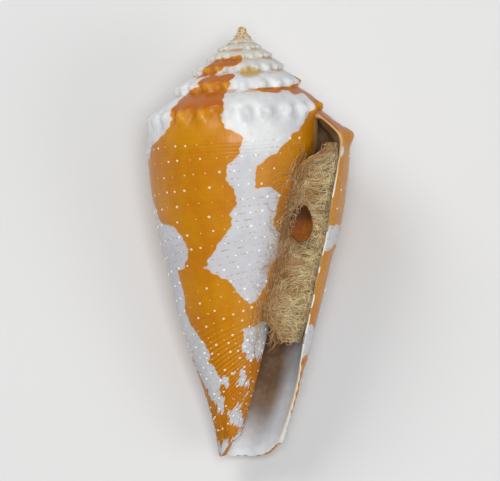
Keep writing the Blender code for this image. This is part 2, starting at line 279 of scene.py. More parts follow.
    def knob(self, turn: Array) -> Array:
        """Height of the shoulder knobs, -0.5 to 0.5: a raised cosine with broad crests."""
        count = np.interp(turn, *np.array(self.knob_count).T)
        wave = 0.5 + 0.5 * np.cos(2.0 * np.pi * count + 0.8 * wander(turn * 5.0, 11))
        size = 1.0 + 0.2 * wander(turn * 9.0, 12)
        fade = 0.25 + 0.75 * eased(turn / self.knob_fade)
        return (wave ** 1.3 * size - 0.40) * fade

    def knob_window(self, turn: Array, depth: Array) -> Array:
        """Bell around the shoulder that the knobs fill."""
        radius = self.shoulder_radius(turn)
        past = (depth - self.shoulder_depth(turn) - 0.01 * radius) / radius
        return np.exp(-(past / np.where(past < 0.0, 0.06, 0.095)) ** 2)

    def ramp_radius(self, turn: Array, depth: Array) -> Array:
        """Radius of the ramp between suture and shoulder: a straight line, swollen a little upwards."""
        inner_radius, inner_depth = self.suture(turn)
        radius, low = self.shoulder_radius(turn), self.shoulder_depth(turn)
        share = (depth - inner_depth) / (low - inner_depth)
        swell = self.ramp_swell * radius * np.sin(np.pi * np.clip(share, 0.0, 1.0)) * eased(turn / 0.5)
        return inner_radius + (radius - inner_radius) * share + swell

    def side_radius(self, turn: Array, depth: Array) -> Array:
        """Radius below the shoulder: the flank on the last whorl, a short drop on the spire."""
        radius, low = self.shoulder_radius(turn), self.shoulder_depth(turn)
        drop = radius * (1.0 - 0.015 * (depth - low) / (self.suture_drop * radius))
        drop = drop - 0.17 * (1.0 - eased((turn - 1.0) / 0.3))
        below = (turn <= 1.0) | (depth > low + 0.12 * radius)
        return np.where(below, self.flank_radius(turn, np.maximum(depth, low)), drop)

    def outline(self, turn: Array, depth: Array) -> Array:
        """Smooth outer radius: ramp and side joined by a soft minimum, -w ln(e^(-a/w) + e^(-b/w))."""
        ramp, side = self.ramp_radius(turn, depth), self.side_radius(turn, depth)
        soft = self.corner * np.sqrt(self.shoulder_radius(turn) / self.lip_radius)
        low = np.minimum(ramp, side)
        return low - soft * np.log1p(np.exp(-np.abs(ramp - side) / soft))

    def outside(self, turn: Array, depth: Array) -> Array:
        """Outer radius with its knobs, growth lines and, towards the lower end, spiral cords."""
        knobs = self.knob(turn) * self.knob_window(turn, depth) * self.knob_height
        radius = self.outline(turn, depth) + knobs * self.shoulder_radius(turn)
        row = self.row(turn, depth)
        broad = (0.5 + 0.5 * np.cos(2.0 * np.pi * row)) ** 1.4 - 0.4
        close = (0.5 + 0.5 * np.cos(4.0 * np.pi * row)) ** 1.2 - 0.45
        below = depth - self.shoulder_depth(turn)
        cord = broad * (0.015 + 0.03 * eased((depth - 36.0) / 10.0)) * eased((below - 2.0) / 2.0)
        cord = cord + close * 0.13 * eased((depth - 40.0) / 9.0)
        lines = 0.018 * wander(turn * 55.0, 21) * eased(below / 4.0)
        swell = 0.06 * wander(turn * 9.0, 22) * eased((below - 2.0) / 8.0)
        fade = np.where(depth > 11.9, 1.0 - eased((turn - 0.97) / 0.05 - 0.08 * (depth - 44.0)), 0.0)
        return radius + np.where(turn <= 1.0, 1.0, fade) * (cord + lines + swell) * (turn < 1.1)

    def rim_depth(self, turn: Array) -> Array:
        """Depth of the lower rim, raised at the lip's corner and at the pillar's end."""
        corner = self.corner_rise[0] * (1.0 - eased(turn / self.corner_rise[1]))
        start = self.pillar_rise[1]
        pillar = self.pillar_rise[0] * eased((turn - start) / (1.0 - start))
        chips = 0.13 * wander(turn * 16.0, 31)
        return self.length - 0.15 - corner - pillar + chips

    def mouth_depth(self, turn: Array) -> Array:
        """Depth of the corner where the cavity's roof meets the whorl inside it."""
        return self.suture(turn)[1] + self.suture_wall

    def floor_depth(self, turn: Array) -> Array:
        """Depth where the cavity ends: the rim along the canal, then a floor that rises."""
        rise = self.floor_rise * eased((turn - self.canal_turns) / (self.cavity_turns - self.canal_turns))
        return self.rim_depth(turn) - rise

    def pillar_end(self, turn: Array) -> Array:
        """Depth where the whorl inside the mouth ends, from the pillar's tip to the cavity's floor."""
        tip, floor = self.rim_depth(np.ones(1))[0], self.floor_depth(turn - 1.0)
        return tip + (floor - tip) * eased((turn - 1.0) / self.canal_turns)

    def wall(self, turn: Array) -> Array:
        """Thickness of the wall, thin at the lip."""
        return self.lip_wall + (self.full_wall - self.lip_wall) * eased(turn / self.wall_turn)

    def lining(self, turn: Array, depth: Array) -> Array:
        """Radius of the wall's inner face: the smooth outline moved in, with a rounder corner."""
        thick = self.wall(turn)
        ramp = self.ramp_radius(turn, depth - 1.3 * thick)
        side = self.flank_radius(turn, depth) - thick
        low = np.minimum(ramp, side)
        swell = 2.0 * eased((turn - 0.012) / 0.07) * (1.0 - eased((depth - 15.0) / 4.5))
        return low - 0.5 * np.log1p(np.exp(-np.abs(ramp - side) / 0.5)) - swell

    def pitch(self, depth: Array) -> Array:
        """How far a spiral row climbs in one turn, steeper towards the lower end."""
        return through(self.row_climb, depth)

    def _row_tables(self) -> tuple[Array, Array, Array]:
        """Depths, the turns that a row takes to climb to them, and the rows on the reference turn."""
        depth = np.linspace(-20.0, 90.0, 2201)
        step = depth[1] - depth[0]
        climb = np.cumsum(step / self.pitch(depth))
        climb -= np.interp(0.0, depth, climb)
        rows = np.cumsum(step / through(self.row_spacing, depth))
        rows -= np.interp(self.first_row, depth, rows)
        return depth, climb, rows

    def row(self, turn: Array, depth: Array) -> Array:
        """Row coordinate, whole on each spiral row: rows(turn + climb(depth))."""
        depths, climb, rows = self._row_tables()
        return np.interp(turn - self.row_turn + np.interp(depth, depths, climb), climb, rows)

    def row_depth(self, turn: Array, row: Array) -> Array:
        """Depth of a spiral row at a turn, the inverse of row()."""
        depths, climb, rows = self._row_tables()
        return np.interp(np.interp(row, rows, climb) + self.row_turn - turn, climb, depths)


class Side(Enum):
    """Which side of the shell an outline is drawn on."""

    MOUTH = "mouth"
    BACK = "back"
    LIP = "lip"


class Ground(Enum):
    """What an outline bounds."""

    WHITE = "white"
    ORANGE = "orange"
    WORN = "worn"


Patches = dict[tuple[Side, Ground], tuple[Points, ...]]

# Outlines of the patches, as points across and down from the apex in millimetres, seen square on.
# On the mouth side across grows towards the lip, on the back away from it. Points past the shell's
# own outline carry on round it.
PATCHES: Patches = {
    (Side.BACK, Ground.WHITE): (
        ((-14.6, 14.6), (-14.7, 17.2), (-14.1, 18.5), (-12.8, 20.9), (-10.2, 18.9), (-7.8, 16.7),
         (-9.3, 15), (-9.1, 12.9), (-8.3, 11.6), (-6.3, 11.3), (-6.5, 10.4), (-10.8, 10.4),
         (-12.4, 11.4), (-14.2, 13)),
        ((-2.9, 11.3), (-3.1, 14.8), (-1.8, 15.9), (0.1, 16.4), (2, 16.9), (5, 18.6), (7, 17.7),
         (9.2, 15), (8.3, 12.9), (6.5, 11.6), (5.5, 10.7), (2.2, 11.2)),
        ((10, 9.4), (11.2, 11.6), (12.3, 13.3), (13.1, 15), (15.3, 15.2), (13.8, 12), (10.8, 9.4)),
        ((0, 28.7), (0.8, 29.5), (-0.3, 30.6), (1, 31.4), (3.9, 29.6), (5.2, 30.6), (4, 33.3),
         (4.2, 34.6), (6, 33.9), (5.9, 37.7), (4.8, 41), (3.8, 43.2), (0.9, 42.8), (-0.6, 41.3),
         (-4.7, 40.3), (-4.4, 39), (-2.5, 37.5), (-1.9, 36.5), (-0.6, 35.5), (-1.3, 33.9), (-2.8, 32.6),
         (-2.3, 31.3)),
        ((-14.5, 31), (-13, 31.1), (-10.9, 33), (-10.4, 33.2), (-10.7, 34.9), (-9.9, 36.3),
         (-7.3, 38.4), (-6.4, 40.3), (-7.4, 42.7), (-7, 45.8), (-5.8, 47.9), (-6.1, 51), (-5, 50.5),
         (-4.7, 52.4), (-2.8, 54.3), (-2.7, 57.4), (-2.1, 59.5), (-3.9, 60.2), (-5.3, 57.2),
         (-6.7, 54.5), (-8.1, 50.1), (-9.2, 46.6), (-11, 44.8), (-12.7, 38.6)),
        ((4.6, 48.1), (5.3, 48.4), (4.8, 51.9), (3.9, 54.5), (3.8, 56.9), (2.7, 59.8), (1.2, 59.5),
         (1, 57.4), (0.3, 56.2), (0.8, 54.3), (1.5, 53.3), (2.4, 51.2)),
        ((9.8, 33.9), (9.9, 36.3), (8.7, 37), (8.1, 36), (8.7, 34.5)),
        ((12.7, 28), (12.2, 29.4), (11.3, 31.5), (10.8, 33.8), (12.7, 33.8), (14.2, 30.8), (14.5, 28)),
    ),
    (Side.MOUTH, Ground.WHITE): (
        ((-15.3, 9.9), (-7.6, 9), (-7.6, 9.6), (-8.8, 10.5), (-9.6, 11.6), (-9.7, 12.9), (-10.1, 14.4),
         (-10.8, 15.2), (-11.8, 16.3), (-12.6, 17.2), (-12.8, 18.5), (-15.3, 18.8)),
        ((-1.9, 8.8), (-2.9, 12.7), (-2.1, 14.2), (-0.2, 15.9), (-0.8, 18.2), (-2.1, 19.8),
         (-1.9, 22.1), (-0.4, 24.2), (-1.6, 26), (-1.6, 28.1), (-2.3, 29.2), (-3.6, 30.9), (-5.4, 33.4),
         (-3.3, 34.6), (-1.2, 36), (-0.2, 37.9), (1.2, 39.1), (2.2, 37.5), (3.4, 36), (4.1, 33),
         (5.3, 32.2), (5.4, 31.1), (5.3, 29.5), (4.3, 27.5), (5, 25.4), (5.2, 23.4), (3.9, 22.3),
         (1.8, 22.8), (1.8, 20), (5, 17.2), (8, 14.6), (9.5, 11.6), (8.8, 9.6)),
        ((0.5, 42.2), (3.6, 40.8), (4.1, 42), (3.1, 45.8), (1.2, 46.6), (-0.1, 45.5), (0.5, 43.6)),
        ((-14.2, 23), (-12.3, 24.4), (-10.4, 28.5), (-10.6, 29.6), (-9.4, 32.2), (-8.7, 34.9),
         (-8, 37.7), (-7.5, 41), (-6.4, 42.7), (-4.9, 44.3), (-4, 47.2), (-3, 49.3), (-2.8, 51.2),
         (-2.6, 54.1), (-4, 53.1), (-5.4, 50.1), (-7.3, 46), (-9.6, 41.4), (-11.9, 35.4),
         (-13.9, 29.7)),
        ((-2.7, 48.5), (-1.9, 48.3), (-1.5, 49.2), (-1.9, 50.4), (-2.6, 49.9)),
        ((-1, 48.7), (-0.1, 48.1), (0.3, 49), (-0.1, 50.4), (-1, 49.9)),
        ((0.4, 49.7), (1.3, 49.4), (1.3, 50.6), (0.4, 51.2)),
        ((-2, 53.5), (-0.6, 52.9), (-0.1, 54.2), (-0.8, 55.9), (-1.9, 55.2)),
        ((-2.5, 56.2), (-1.6, 55.5), (0.6, 55.6), (0.6, 60), (-2.2, 60)),
    ),
    (Side.LIP, Ground.WHITE): (
        ((10.5, 28.3), (11.6, 27.6), (13.5, 27.8), (14.1, 29.4), (11.9, 31.2), (10.7, 31.5)),
        ((11.2, 38.6), (10.2, 42.1), (9.3, 45.3), (8.2, 48.9), (7.7, 50.6), (8.9, 51), (10.2, 47.4),
         (11.2, 43), (12.3, 38.9)),
        ((13.5, 16.7), (14.25, 16.6), (14.2, 17.9), (13.5, 18.4)),
    ),
    (Side.BACK, Ground.ORANGE): (
        ((1.6, 4.2), (3.2, 3.7), (4.8, 4.6), (4.2, 5.7), (2.3, 5.5)),
        ((-8.6, 7.6), (-7, 6.6), (-5.9, 6.1), (-6.3, 8.4), (-7.8, 8.7)),
        ((0, 7.6), (2, 7.7), (5.2, 8), (7.4, 9.2), (8.5, 10.4), (6, 11.2), (2.7, 11.2), (1.6, 9.7),
         (0.6, 8.6)),
    ),
    (Side.MOUTH, Ground.WORN): (
        ((-0.6, 6.6), (-0.2, 5.9), (0.9, 5.6), (2.2, 5.9), (2.9, 6.5), (2.3, 7), (1, 7.3), (0, 7.2)),
    ),
    (Side.MOUTH, Ground.ORANGE): (
        ((0, 4.3), (-2.1, 4.4), (-3.8, 4.9), (-5.1, 5.6), (-6.2, 6.4), (-6.2, 7), (-4.5, 6.9),
         (-3, 6.6), (-2.5, 5.9), (-0.8, 5.4), (0.1, 4.8)),
        ((-6.3, 8.2), (-5.3, 7.2), (-4.5, 6.8), (-3, 6.8), (-1.6, 7.1), (-1.3, 9), (-2.1, 9.8),
         (-3.8, 9.9), (-5.8, 9.7)),
        ((7.2, 9), (9.1, 8.7), (11.2, 9.6), (11.1, 11.7), (8.8, 11.2), (7.3, 10.3)),
    ),
}


class Mesher:
    """Collects points, their values and faces, and makes one mesh of them."""

    def __init__(self) -> None:
        """Starts empty."""
        self.points: list[Array] = []
        self.values: dict[str, list[Array]] = {}
        self.faces: list[Array] = []
        self.count = 0

    def grid(self, points: Array, **values: Array | float) -> Array:
        """Adds points of any grid shape.

        Args:
            points: Array whose last axis is x, y, z.
            values: One number or array for each named value.
        Returns:
            The vertex numbers in the grid's shape.
        """
        shape = points.shape[:-1]
        size = int(np.prod(shape))
        self.points.append(points.reshape(-1, 3))
        for name, value in values.items():
            filled = np.broadcast_to(np.asarray(value, dtype=float), shape).reshape(-1)
            self.values.setdefault(name, []).append(filled)
        numbers = np.arange(self.count, self.count + size).reshape(shape)
        self.count += size
        return numbers

    def join(self, columns: Array) -> None:
        """Adds a quad between each two neighbouring columns and rows of vertex numbers."""
        quads = np.stack((columns[:-1, :-1], columns[:-1, 1:], columns[1:, 1:], columns[1:, :-1]), axis=-1)
        self.faces.append(quads.reshape(-1, 4))

    def fill(self, loop: Array | list[int]) -> None:
        """Adds one many-sided face."""
        self.faces.append(np.asarray(loop, dtype=int).reshape(1, -1))

    def join_many(self, tubes: Array) -> None:
        """Adds the sides and both ends of many closed tubes.

        Args:
            tubes: Vertex numbers as an array of tube, station and place round the tube.
        """
        nearby = np.roll(tubes, -1, axis=2)
        sides = np.stack((tubes[:, :-1], nearby[:, :-1], nearby[:, 1:], tubes[:, 1:]), axis=-1)
        self.faces.append(sides.reshape(-1, 4))
        self.faces.append(tubes[:, 0, ::-1])
        self.faces.append(tubes[:, -1])

    def fan(self, ring: Array, tip: int) -> None:
        """Adds triangles from each two neighbours of a ring to the tip."""
        self.faces.append(np.stack((ring[:-1], ring[1:], np.full(len(ring) - 1, tip)), axis=-1))

    def build(self, name: str, placement: "Placement") -> bpy.types.Object:
        """Makes the object, with its faces turned outwards and no point below the table.

        Args:
            name: The piece's name.
            placement: Where the shell's own frame stands in the world.
        Returns:
            An object at the origin with every value as a point attribute.
        """
        world = placement.world(np.concatenate(self.points))
        world[:, 2] = np.maximum(world[:, 2], 0.0)
        faces = [face for block in self.faces for face in block.tolist()]
        data = bpy.data.meshes.new(name)
        data.from_pydata(world.tolist(), [], faces)
        work = bmesh.new()
        work.from_mesh(data)
        bmesh.ops.recalc_face_normals(work, faces=work.faces)
        bmesh.ops.triangulate(work, faces=[face for face in work.faces if len(face.verts) > 4])
        work.to_mesh(data)
        work.free()
        for value, blocks in self.values.items():
            layer = data.attributes.new(value, "FLOAT", "POINT")
            layer.data.foreach_set("value", np.concatenate(blocks).astype(np.float32))
        data.shade_smooth()
        return linked(name, data)


@dataclass
class Placement:
    """Where the shell's own frame stands in the world: its apex, and how far it leans back."""

    tilt: float = 8.8
    turn: Array = field(init=False)
    apex: Array = field(init=False)

    def __post_init__(self) -> None:
        """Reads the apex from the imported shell, as its point furthest along Y."""
        self.turn = np.array(Matrix.Rotation(np.radians(self.tilt - 90.0), 3, "X"))
        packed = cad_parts["shell"].data
        points = np.empty(len(packed.vertices) * 3)
        packed.vertices.foreach_get("co", points)
        points = points.reshape(-1, 3)
        self.apex = points[np.argmax(points[:, 1])]

    def world(self, local: Array) -> Array:
        """World place in metres of a place in the shell's frame in millimetres."""
        return local * MM @ self.turn.T + self.apex


@dataclass
class Markings:
    """Where the shell is white: a signed distance in millimetres to the patches' outlines."""

    growth: Growth
    patches: Patches
    spire_ground: float = 2.0
    spire_start: float = 1.06
    wall_top: float = 15.0
    margin: float = 7.0
    margin_degrees: float = 45.0

    def silhouette(self, side: Side, across: Array, depth: Array) -> Array:
        """Angle back from the lip, in degrees, of a place seen on one side.

        Args:
            side: The side it is seen on.
            across: Millimetres across from the axis.
            depth: Millimetres below the apex.
        Returns:
            The angle. Past the outline it goes on, 2 radians for each radius.
        """
        g, lip = self.growth, self.growth.lip_azimuth
        turn = np.full_like(depth, 0.05 if side is Side.LIP else 0.6)
        angle = turn
        for _ in range(4):
            low = g.suture(turn)[1]
            spire = g.lip_radius * np.clip(depth / g.shoulder_low, 0.02, 1.0) ** 0.967
            radius = np.where(depth > low, g.outline(turn, np.maximum(depth, low)), spire)
            share = (across - g.axis_shift(depth)) / radius
            bend = np.arccos(np.clip(share, -1.0, 1.0))
            bend = bend + np.where(share < -1.0, 2.0 * (-share - 1.0), 0.0)
            bend = bend - np.where(share > 1.0, 2.0 * (share - 1.0), 0.0)
            angle = np.degrees(bend)
            angle = {Side.MOUTH: 360.0 + lip - angle, Side.BACK: lip + angle, Side.LIP: lip - angle}[side]
            turn = np.clip(angle / 360.0, 0.0, 1.0)
        return angle

    def distance(self, side: Side, outline: Points, angle: Array,
                 depth: Array, radius: Array) -> Array:
        """Signed distance to one outline on the unrolled shell, in millimetres, positive inside.

        Each edge gives the distance to its nearest point, and a place is inside where a line from
        it crosses the outline an odd number of times.

        Args:
            side: The side that the outline is drawn on.
            outline: Its points.
            angle: Angles of the places back from the lip, in degrees.
            depth: Their depths.
            radius: Their radii.
        Returns:
            The distance at each place, no less than FAR.
        """
        across, down = np.array(outline, dtype=float).T
        corner = self.silhouette(side, -across if side is Side.BACK else across, down)
        middle = 0.5 * (corner.min() + corner.max())
        result = np.full(angle.shape, FAR)
        turned = (angle - middle + 180.0) % 360.0 - 180.0
        near = np.abs(depth - down.mean()) < np.ptp(down) / 2 + self.margin
        near &= np.abs(turned) < np.ptp(corner) / 2 + self.margin_degrees
        scale = np.radians(1.0) * radius[near]
        x, y = turned[near] * scale, depth[near]
        best = np.full(x.shape, -FAR)
        odd = np.zeros(x.shape, dtype=bool)
        for start, end in enumerate(np.roll(range(len(down)), -1)):
            ax, ay = (corner[start] - middle) * scale, down[start]
            bx, by = (corner[end] - middle) * scale, down[end]
            run, rise = bx - ax, by - ay
            share = np.clip(((x - ax) * run + (y - ay) * rise) / (run * run + rise * rise + 1e-9), 0, 1)
            best = np.minimum(best, np.hypot(x - ax - share * run, y - ay - share * rise))
            if ay != by:
                odd ^= ((ay > y) != (by > y)) & (x < ax + (y - ay) * run / rise)
        result[near] = np.where(odd, best, -best)
        return result

    def read(self, turn: Array, depth: Array, radius: Array) -> tuple[Array, Array]:
        """Signed distances to the white ground and to the worn spots.

        White is the patches' union on the last whorl, and on the spire what orange leaves. The wall
        that goes on into the mouth is orange.

        Args:
            turn: Turn counts of the places.
            depth: Their depths.
            radius: Their radii.
        Returns:
            Distance inside the white, and distance inside a worn spot.
        """
        shape = turn.shape
        turn, depth, radius = turn.ravel(), depth.ravel(), radius.ravel()
        found = {ground: np.full(turn.shape, FAR) for ground in Ground}
        for (side, ground), outlines in self.patches.items():
            for outline in outlines:
                here = self.distance(side, outline, turn * 360.0, depth, radius)
                found[ground] = np.maximum(found[ground], here)
        spire = np.minimum(self.spire_ground, -found[Ground.ORANGE])
        worn = np.where(turn > 1.0, found[Ground.WORN], FAR)
        white = np.where(turn > self.spire_start, spire, found[Ground.WHITE])
        white = np.where((turn > 1.0) & (depth > self.wall_top), FAR, white)
        return white.reshape(shape), worn.reshape(shape)


@dataclass
class ShellBody:
    """The shell as one closed surface: outside, lip, lining, columella, canal and the granules on it."""

    growth: Growth
    markings: Markings
    placement: Placement
    steps: int = 200
    band_rows: int = 14
    flank_rows: int = 108
    spire_turns: float = 6.5
    lip_columns: int = 3
    lip_bulge: float = 0.16
    apex_profile: Points = (
        (0.82, 1.08), (0.70, 0.88), (0.63, 0.68), (0.62, 0.50), (0.57, 0.30), (0.43, 0.12), (0.22, 0.03))
    apex_turn: float = 6.6
    bead_spacing: float = 1.9
    bead_radius: float = 0.2
    bead_height: float = 0.12
    bead_sides: int = 7
    bead_clearance: float = 0.3

    def flank_shares(self) -> Array:
        """Shares down the flank, close together near the shoulder and over the lower cords."""
        first, last = self.growth.shoulder_low, self.growth.length
        depth = np.linspace(first, last, 400)
        spacing = 0.40 + 0.24 * eased((depth - 18.0) / 6.0) - 0.36 * eased((depth - 36.0) / 10.0)
        count = np.concatenate(([0.0], np.cumsum(1.0 / (0.5 * (spacing[1:] + spacing[:-1])))))
        even = np.interp(np.linspace(0.0, count[-1], self.flank_rows), count, depth)
        return 0.010 + 0.990 * (even - first) / (last - first)

    def settle(self, turn: Array, depth_at: DepthRule) -> tuple[Array, Array]:
        """Swept turns and the depths that go with them, found by going round four times.

        Args:
            turn: Turn counts of the columns before the sweep, as a column vector.
            depth_at: Gives the depths of the rows for swept turns.
        Returns:
            The swept turns and the depths.
        """
        moved = turn + 0.0 * depth_at(turn)
        for _ in range(4):
            moved = self.growth.swept(turn, depth_at(moved))
        return moved, depth_at(moved)

    def values(self, turn: Array, depth: Array, inside: Array | float = 0.0,
               marks: tuple[Array | float, Array | float] = (FAR, FAR),
               bead: Array | float = 0.0,
               lip: Array | float = 0.0) -> dict[str, Array | float]:
        """The named values that the material reads, at each point.

        Args:
            turn: Turn counts of the points.
            depth: Their depths.
            inside: 1 where they lie in the mouth.
            marks: Distance inside the white, and inside a worn spot.
            bead: How pale a granule is, 0 off the granules.
            lip: Share of the way over the lip's edge.
        Returns:
            One number or array for each name.
        """
        g = self.growth
        line = 2.0 * np.pi * (turn - g.back(depth) / 360.0)
        inner_depth = g.suture(turn)[1]
        past = (depth - g.shoulder_depth(turn)) / (g.suture_drop * g.shoulder_radius(turn))
        seam = np.minimum(np.abs(depth - inner_depth), np.where(turn > 1.0, np.abs(past - 1.0) * 1.4, 9.0))
        return {"patch": marks[0], "worn": marks[1], "row": g.row(turn, depth),
                "line_x": np.cos(line), "line_y": np.sin(line), "depth": depth, "turn": turn,
                "inside": inside, "bead": bead, "seam": seam, "lip": lip,
                "knob": g.knob(turn) * g.knob_window(turn, depth),
                "ramp": eased((g.shoulder_depth(turn) - depth) / (0.08 * g.shoulder_radius(turn)))}

    def lay(self, mesh: Mesher, turn: Array, depth: Array, radius: Array,
            **given: object) -> Array:
        """Adds a grid of places on the shell, with their named values, and returns its numbers."""
        g = self.growth
        points = g.place(turn, g.centred(turn, radius, depth), depth)
        return mesh.grid(points, **self.values(turn, depth, **given))

    def outer(self, mesh: Mesher) -> Array:
        """The bands from the lip up to the apex and the last whorl's flank.

        Args:
            mesh: Gets the points.
        Returns:
            Vertex numbers by column and row, the band's rows first and then the flank's, which are
            -1 past the last whorl.
        """
        g, whole = self.growth, self.steps
        columns = int(self.spire_turns * whole) + 1
        turn = (np.arange(columns) / whole)[:, None]
        share = np.linspace(0.0, 1.0, self.band_rows)[None, :]
        moved, depth = self.settle(
            turn, lambda t: g.suture(t)[1] + (g.shoulder_depth(t) - g.suture(t)[1]) * share)
        radius = g.outside(moved, depth)
        radius[:, 0] = g.outside(moved[:, 0] + 1.0, depth[:, 0])
        bands = self.lay(mesh, moved, depth, radius, marks=self.markings.read(moved, depth, radius))
        turn = (np.arange(whole) / whole)[:, None]
        shares = self.flank_shares()[None, :]
        rim = g.rim_depth(turn)
        moved, depth = self.settle(
            turn, lambda t: g.shoulder_depth(t) + (rim - g.shoulder_depth(t)) * shares)
        radius = g.outside(moved, depth)
        flank = self.lay(mesh, moved, depth, radius, marks=self.markings.read(moved, depth, radius))
        numbers = np.full((columns, self.band_rows + self.flank_rows), -1)
        numbers[:, :self.band_rows] = bands
        numbers[:whole, self.band_rows:] = flank
        return numbers

    def columella(self, mesh: Mesher) -> Array:
        """The whorl inside the mouth, from the roof's corner down to the pillar or the cavity's floor."""
        g = self.growth
        turn = (1.0 + np.arange(round(g.cavity_turns * self.steps) + 1) / self.steps)[:, None]
        shares = self.flank_shares()[1:]
        shares = ((shares - shares[0]) / (1.0 - shares[0]))[None, :]
        first, last = g.mouth_depth(turn - 1.0), g.pillar_end(turn)
        moved, depth = self.settle(turn, lambda t: first + (last - first) * shares + 0.0 * t)
        radius = g.flank_radius(moved, depth)
        marks = self.markings.read(np.minimum(moved, 1.05), depth, radius)
        return self.lay(mesh, moved, depth, radius, inside=eased((moved - 1.0) / 0.03), marks=marks)

    def inner_wall(self, mesh: Mesher, corner: Array) -> Array:
        """The lining: the roof under the ramp, then the wall's inner face down to the cavity's floor.

        Args:
            mesh: Gets the points.
            corner: The columella's first row, which the roof starts from.
        Returns:
            Vertex numbers by column and row.
        """
        g = self.growth
        turn = (np.arange(round(g.cavity_turns * self.steps) + 1) / self.steps)[:, None]
        share = np.linspace(0.0, 1.0, self.band_rows)[None, 1:]
        shares = self.flank_shares()[None, :]
        first, last = g.mouth_depth(turn), g.floor_depth(turn)

        def rows(moved: Array) -> Array:
            """Depths of the roof's rows and of the wall's rows under them."""
            low = g.shoulder_depth(moved[:, :1]) + 0.7
            return np.concatenate((first + (low - first) * share, low + (last - low) * shares), axis=1)

        moved, depth = self.settle(turn, rows)
        radius = g.lining(moved, depth)
        body = g.centred(moved + 1.0, g.flank_radius(moved + 1.0, depth), depth)
        room = g.clearance * eased((depth - first) / 1.4)
        centred = np.maximum(g.centred(moved, radius, depth), body + room)
        wall = mesh.grid(g.place(moved, centred, depth), **self.values(moved, depth, inside=1.0))
        return np.concatenate((corner[:, None], wall), axis=1)

    def lip(self, mesh: Mesher, outside: Array, lining: Array) -> None:
        """The lip's edge: columns between the two faces, bulged forward by a half sine.

        Args:
            mesh: Gets the points and faces.
            outside: Vertex numbers of the outside, lip first.
            lining: Vertex numbers of the wall's inner face, lip first.
        """
        points = np.concatenate(mesh.points)
        outer, inner = points[outside[0]], points[lining[0]]
        forward = unit(outer - points[outside[1]])
        share = (np.arange(1, self.lip_columns + 1) / (self.lip_columns + 1))[:, None, None]
        edge = outer + (inner - outer) * share + forward * self.lip_bulge * np.sin(np.pi * share)
        depth = -edge[..., 2]
        turn = self.growth.swept(np.zeros(1), depth)
        marks = self.markings.read(turn + 0.0 * depth, depth, self.growth.outline(turn, depth))
        made = mesh.grid(edge, **self.values(turn, depth, inside=0.5, marks=marks,
                                             lip=0.0 * depth + share[..., 0]))
        columns = np.concatenate((outside[:1], made, lining[:1]))
        mesh.join(columns)
        mesh.fill(columns[:, 0])
        mesh.fill(columns[:, -1])

    def apex(self, mesh: Mesher, last_turn: Array, end: Array) -> None:
        """The smooth first whorl: rings of a small bulb, closed by a tip.

        Args:
            mesh: Gets the points and faces.
            last_turn: Vertex numbers of the innermost suture, once round.
            end: Vertex numbers of the last column's rows.
        """
        angle = self.growth.azimuth(self.spire_turns - 1.0 + np.arange(self.steps) / self.steps)[None, :]
        radius, depth = np.array(self.apex_profile).T[..., None]
        rings = polar(radius, angle, depth)
        turn = self.apex_turn + 0.0 * rings[..., 0]
        marks = (self.markings.spire_ground, FAR)
        made = mesh.grid(rings, **self.values(turn, -rings[..., 2], marks=marks))
        tip = mesh.grid(np.zeros((1, 3)), **self.values(turn[0, :1], np.zeros(1), marks=marks))
        made = np.concatenate((made, made[:, :1]), axis=1)
        mesh.join(np.concatenate((last_turn[None, :], made)).T)
        mesh.fan(made[-1], tip[0])
        mesh.fill(np.concatenate((end, last_turn[:1], made[0, :1])))

    def granules(self) -> tuple[Array, Array, Array, Array]:
        """Where the granules stand: each row is walked, and one is set at each whole spacing.

        Returns:
            Turns, depths, sizes and how pale each is.
        """
        g = self.growth
        random = np.random.default_rng(7)
        found = []
        dense = np.linspace(0.0, 1.1, 1200)
        for number in np.arange(-2.0, 60.0, 0.5):
            depth = g.row_depth(dense, number)
            radius = g.outline(dense, np.clip(depth, 10.0, 60.0))
            length = np.concatenate(([0.0], np.cumsum(np.hypot(
                2.0 * np.pi * radius[1:] * np.diff(dense), np.diff(depth)))))
            spacing = self.bead_spacing * (1.0 - 0.3 * eased((depth.mean() - 38.0) / 12.0))
            count = int(length[-1] / spacing)
            at = (np.arange(count) + random.uniform(-0.16, 0.16, count) + random.uniform()) * spacing
            turn = np.interp(at, length, dense)
            depth = np.interp(turn, dense, depth) + random.uniform(-0.06, 0.06, count)
            keep = (depth > g.shoulder_depth(turn) + 2.7) & (depth < g.rim_depth(turn) - 2.2)
            keep &= (turn > g.swept(np.zeros(1), depth) + 0.004)
            keep &= (turn < g.swept(np.ones(1), depth) - 0.03)
            between = number % 1.0 > 0.25
            if between:
                left_out = 1.0 - 0.3 * eased((depth - 40.0) / 5.0)
            else:
                left_out = 0.08 + 0.4 * eased((depth - 45.0) / 6.0)
            keep &= random.uniform(size=count) > left_out
            strong = random.uniform(size=count) < (0.2 if between else 0.42)
            size = np.where(strong, random.uniform(0.85, 1.1, count), random.uniform(0.5, 0.8, count))
            size = size * (1.0 - 0.2 * eased((depth - 44.0) / 8.0))
            shade = np.where(strong, 1.0, random.uniform(0.15, 0.6, count))
            found.append(np.stack((turn, depth, size, shade))[:, keep])
        turn, depth, size, shade = np.concatenate(found, axis=1)
        return turn, depth, size, shade

    def wall_place(self, turn: Array, depth: Array) -> Array:
        """Place on the outside."""
        g = self.growth
        return g.place(turn, g.centred(turn, g.outside(turn, depth), depth), depth)

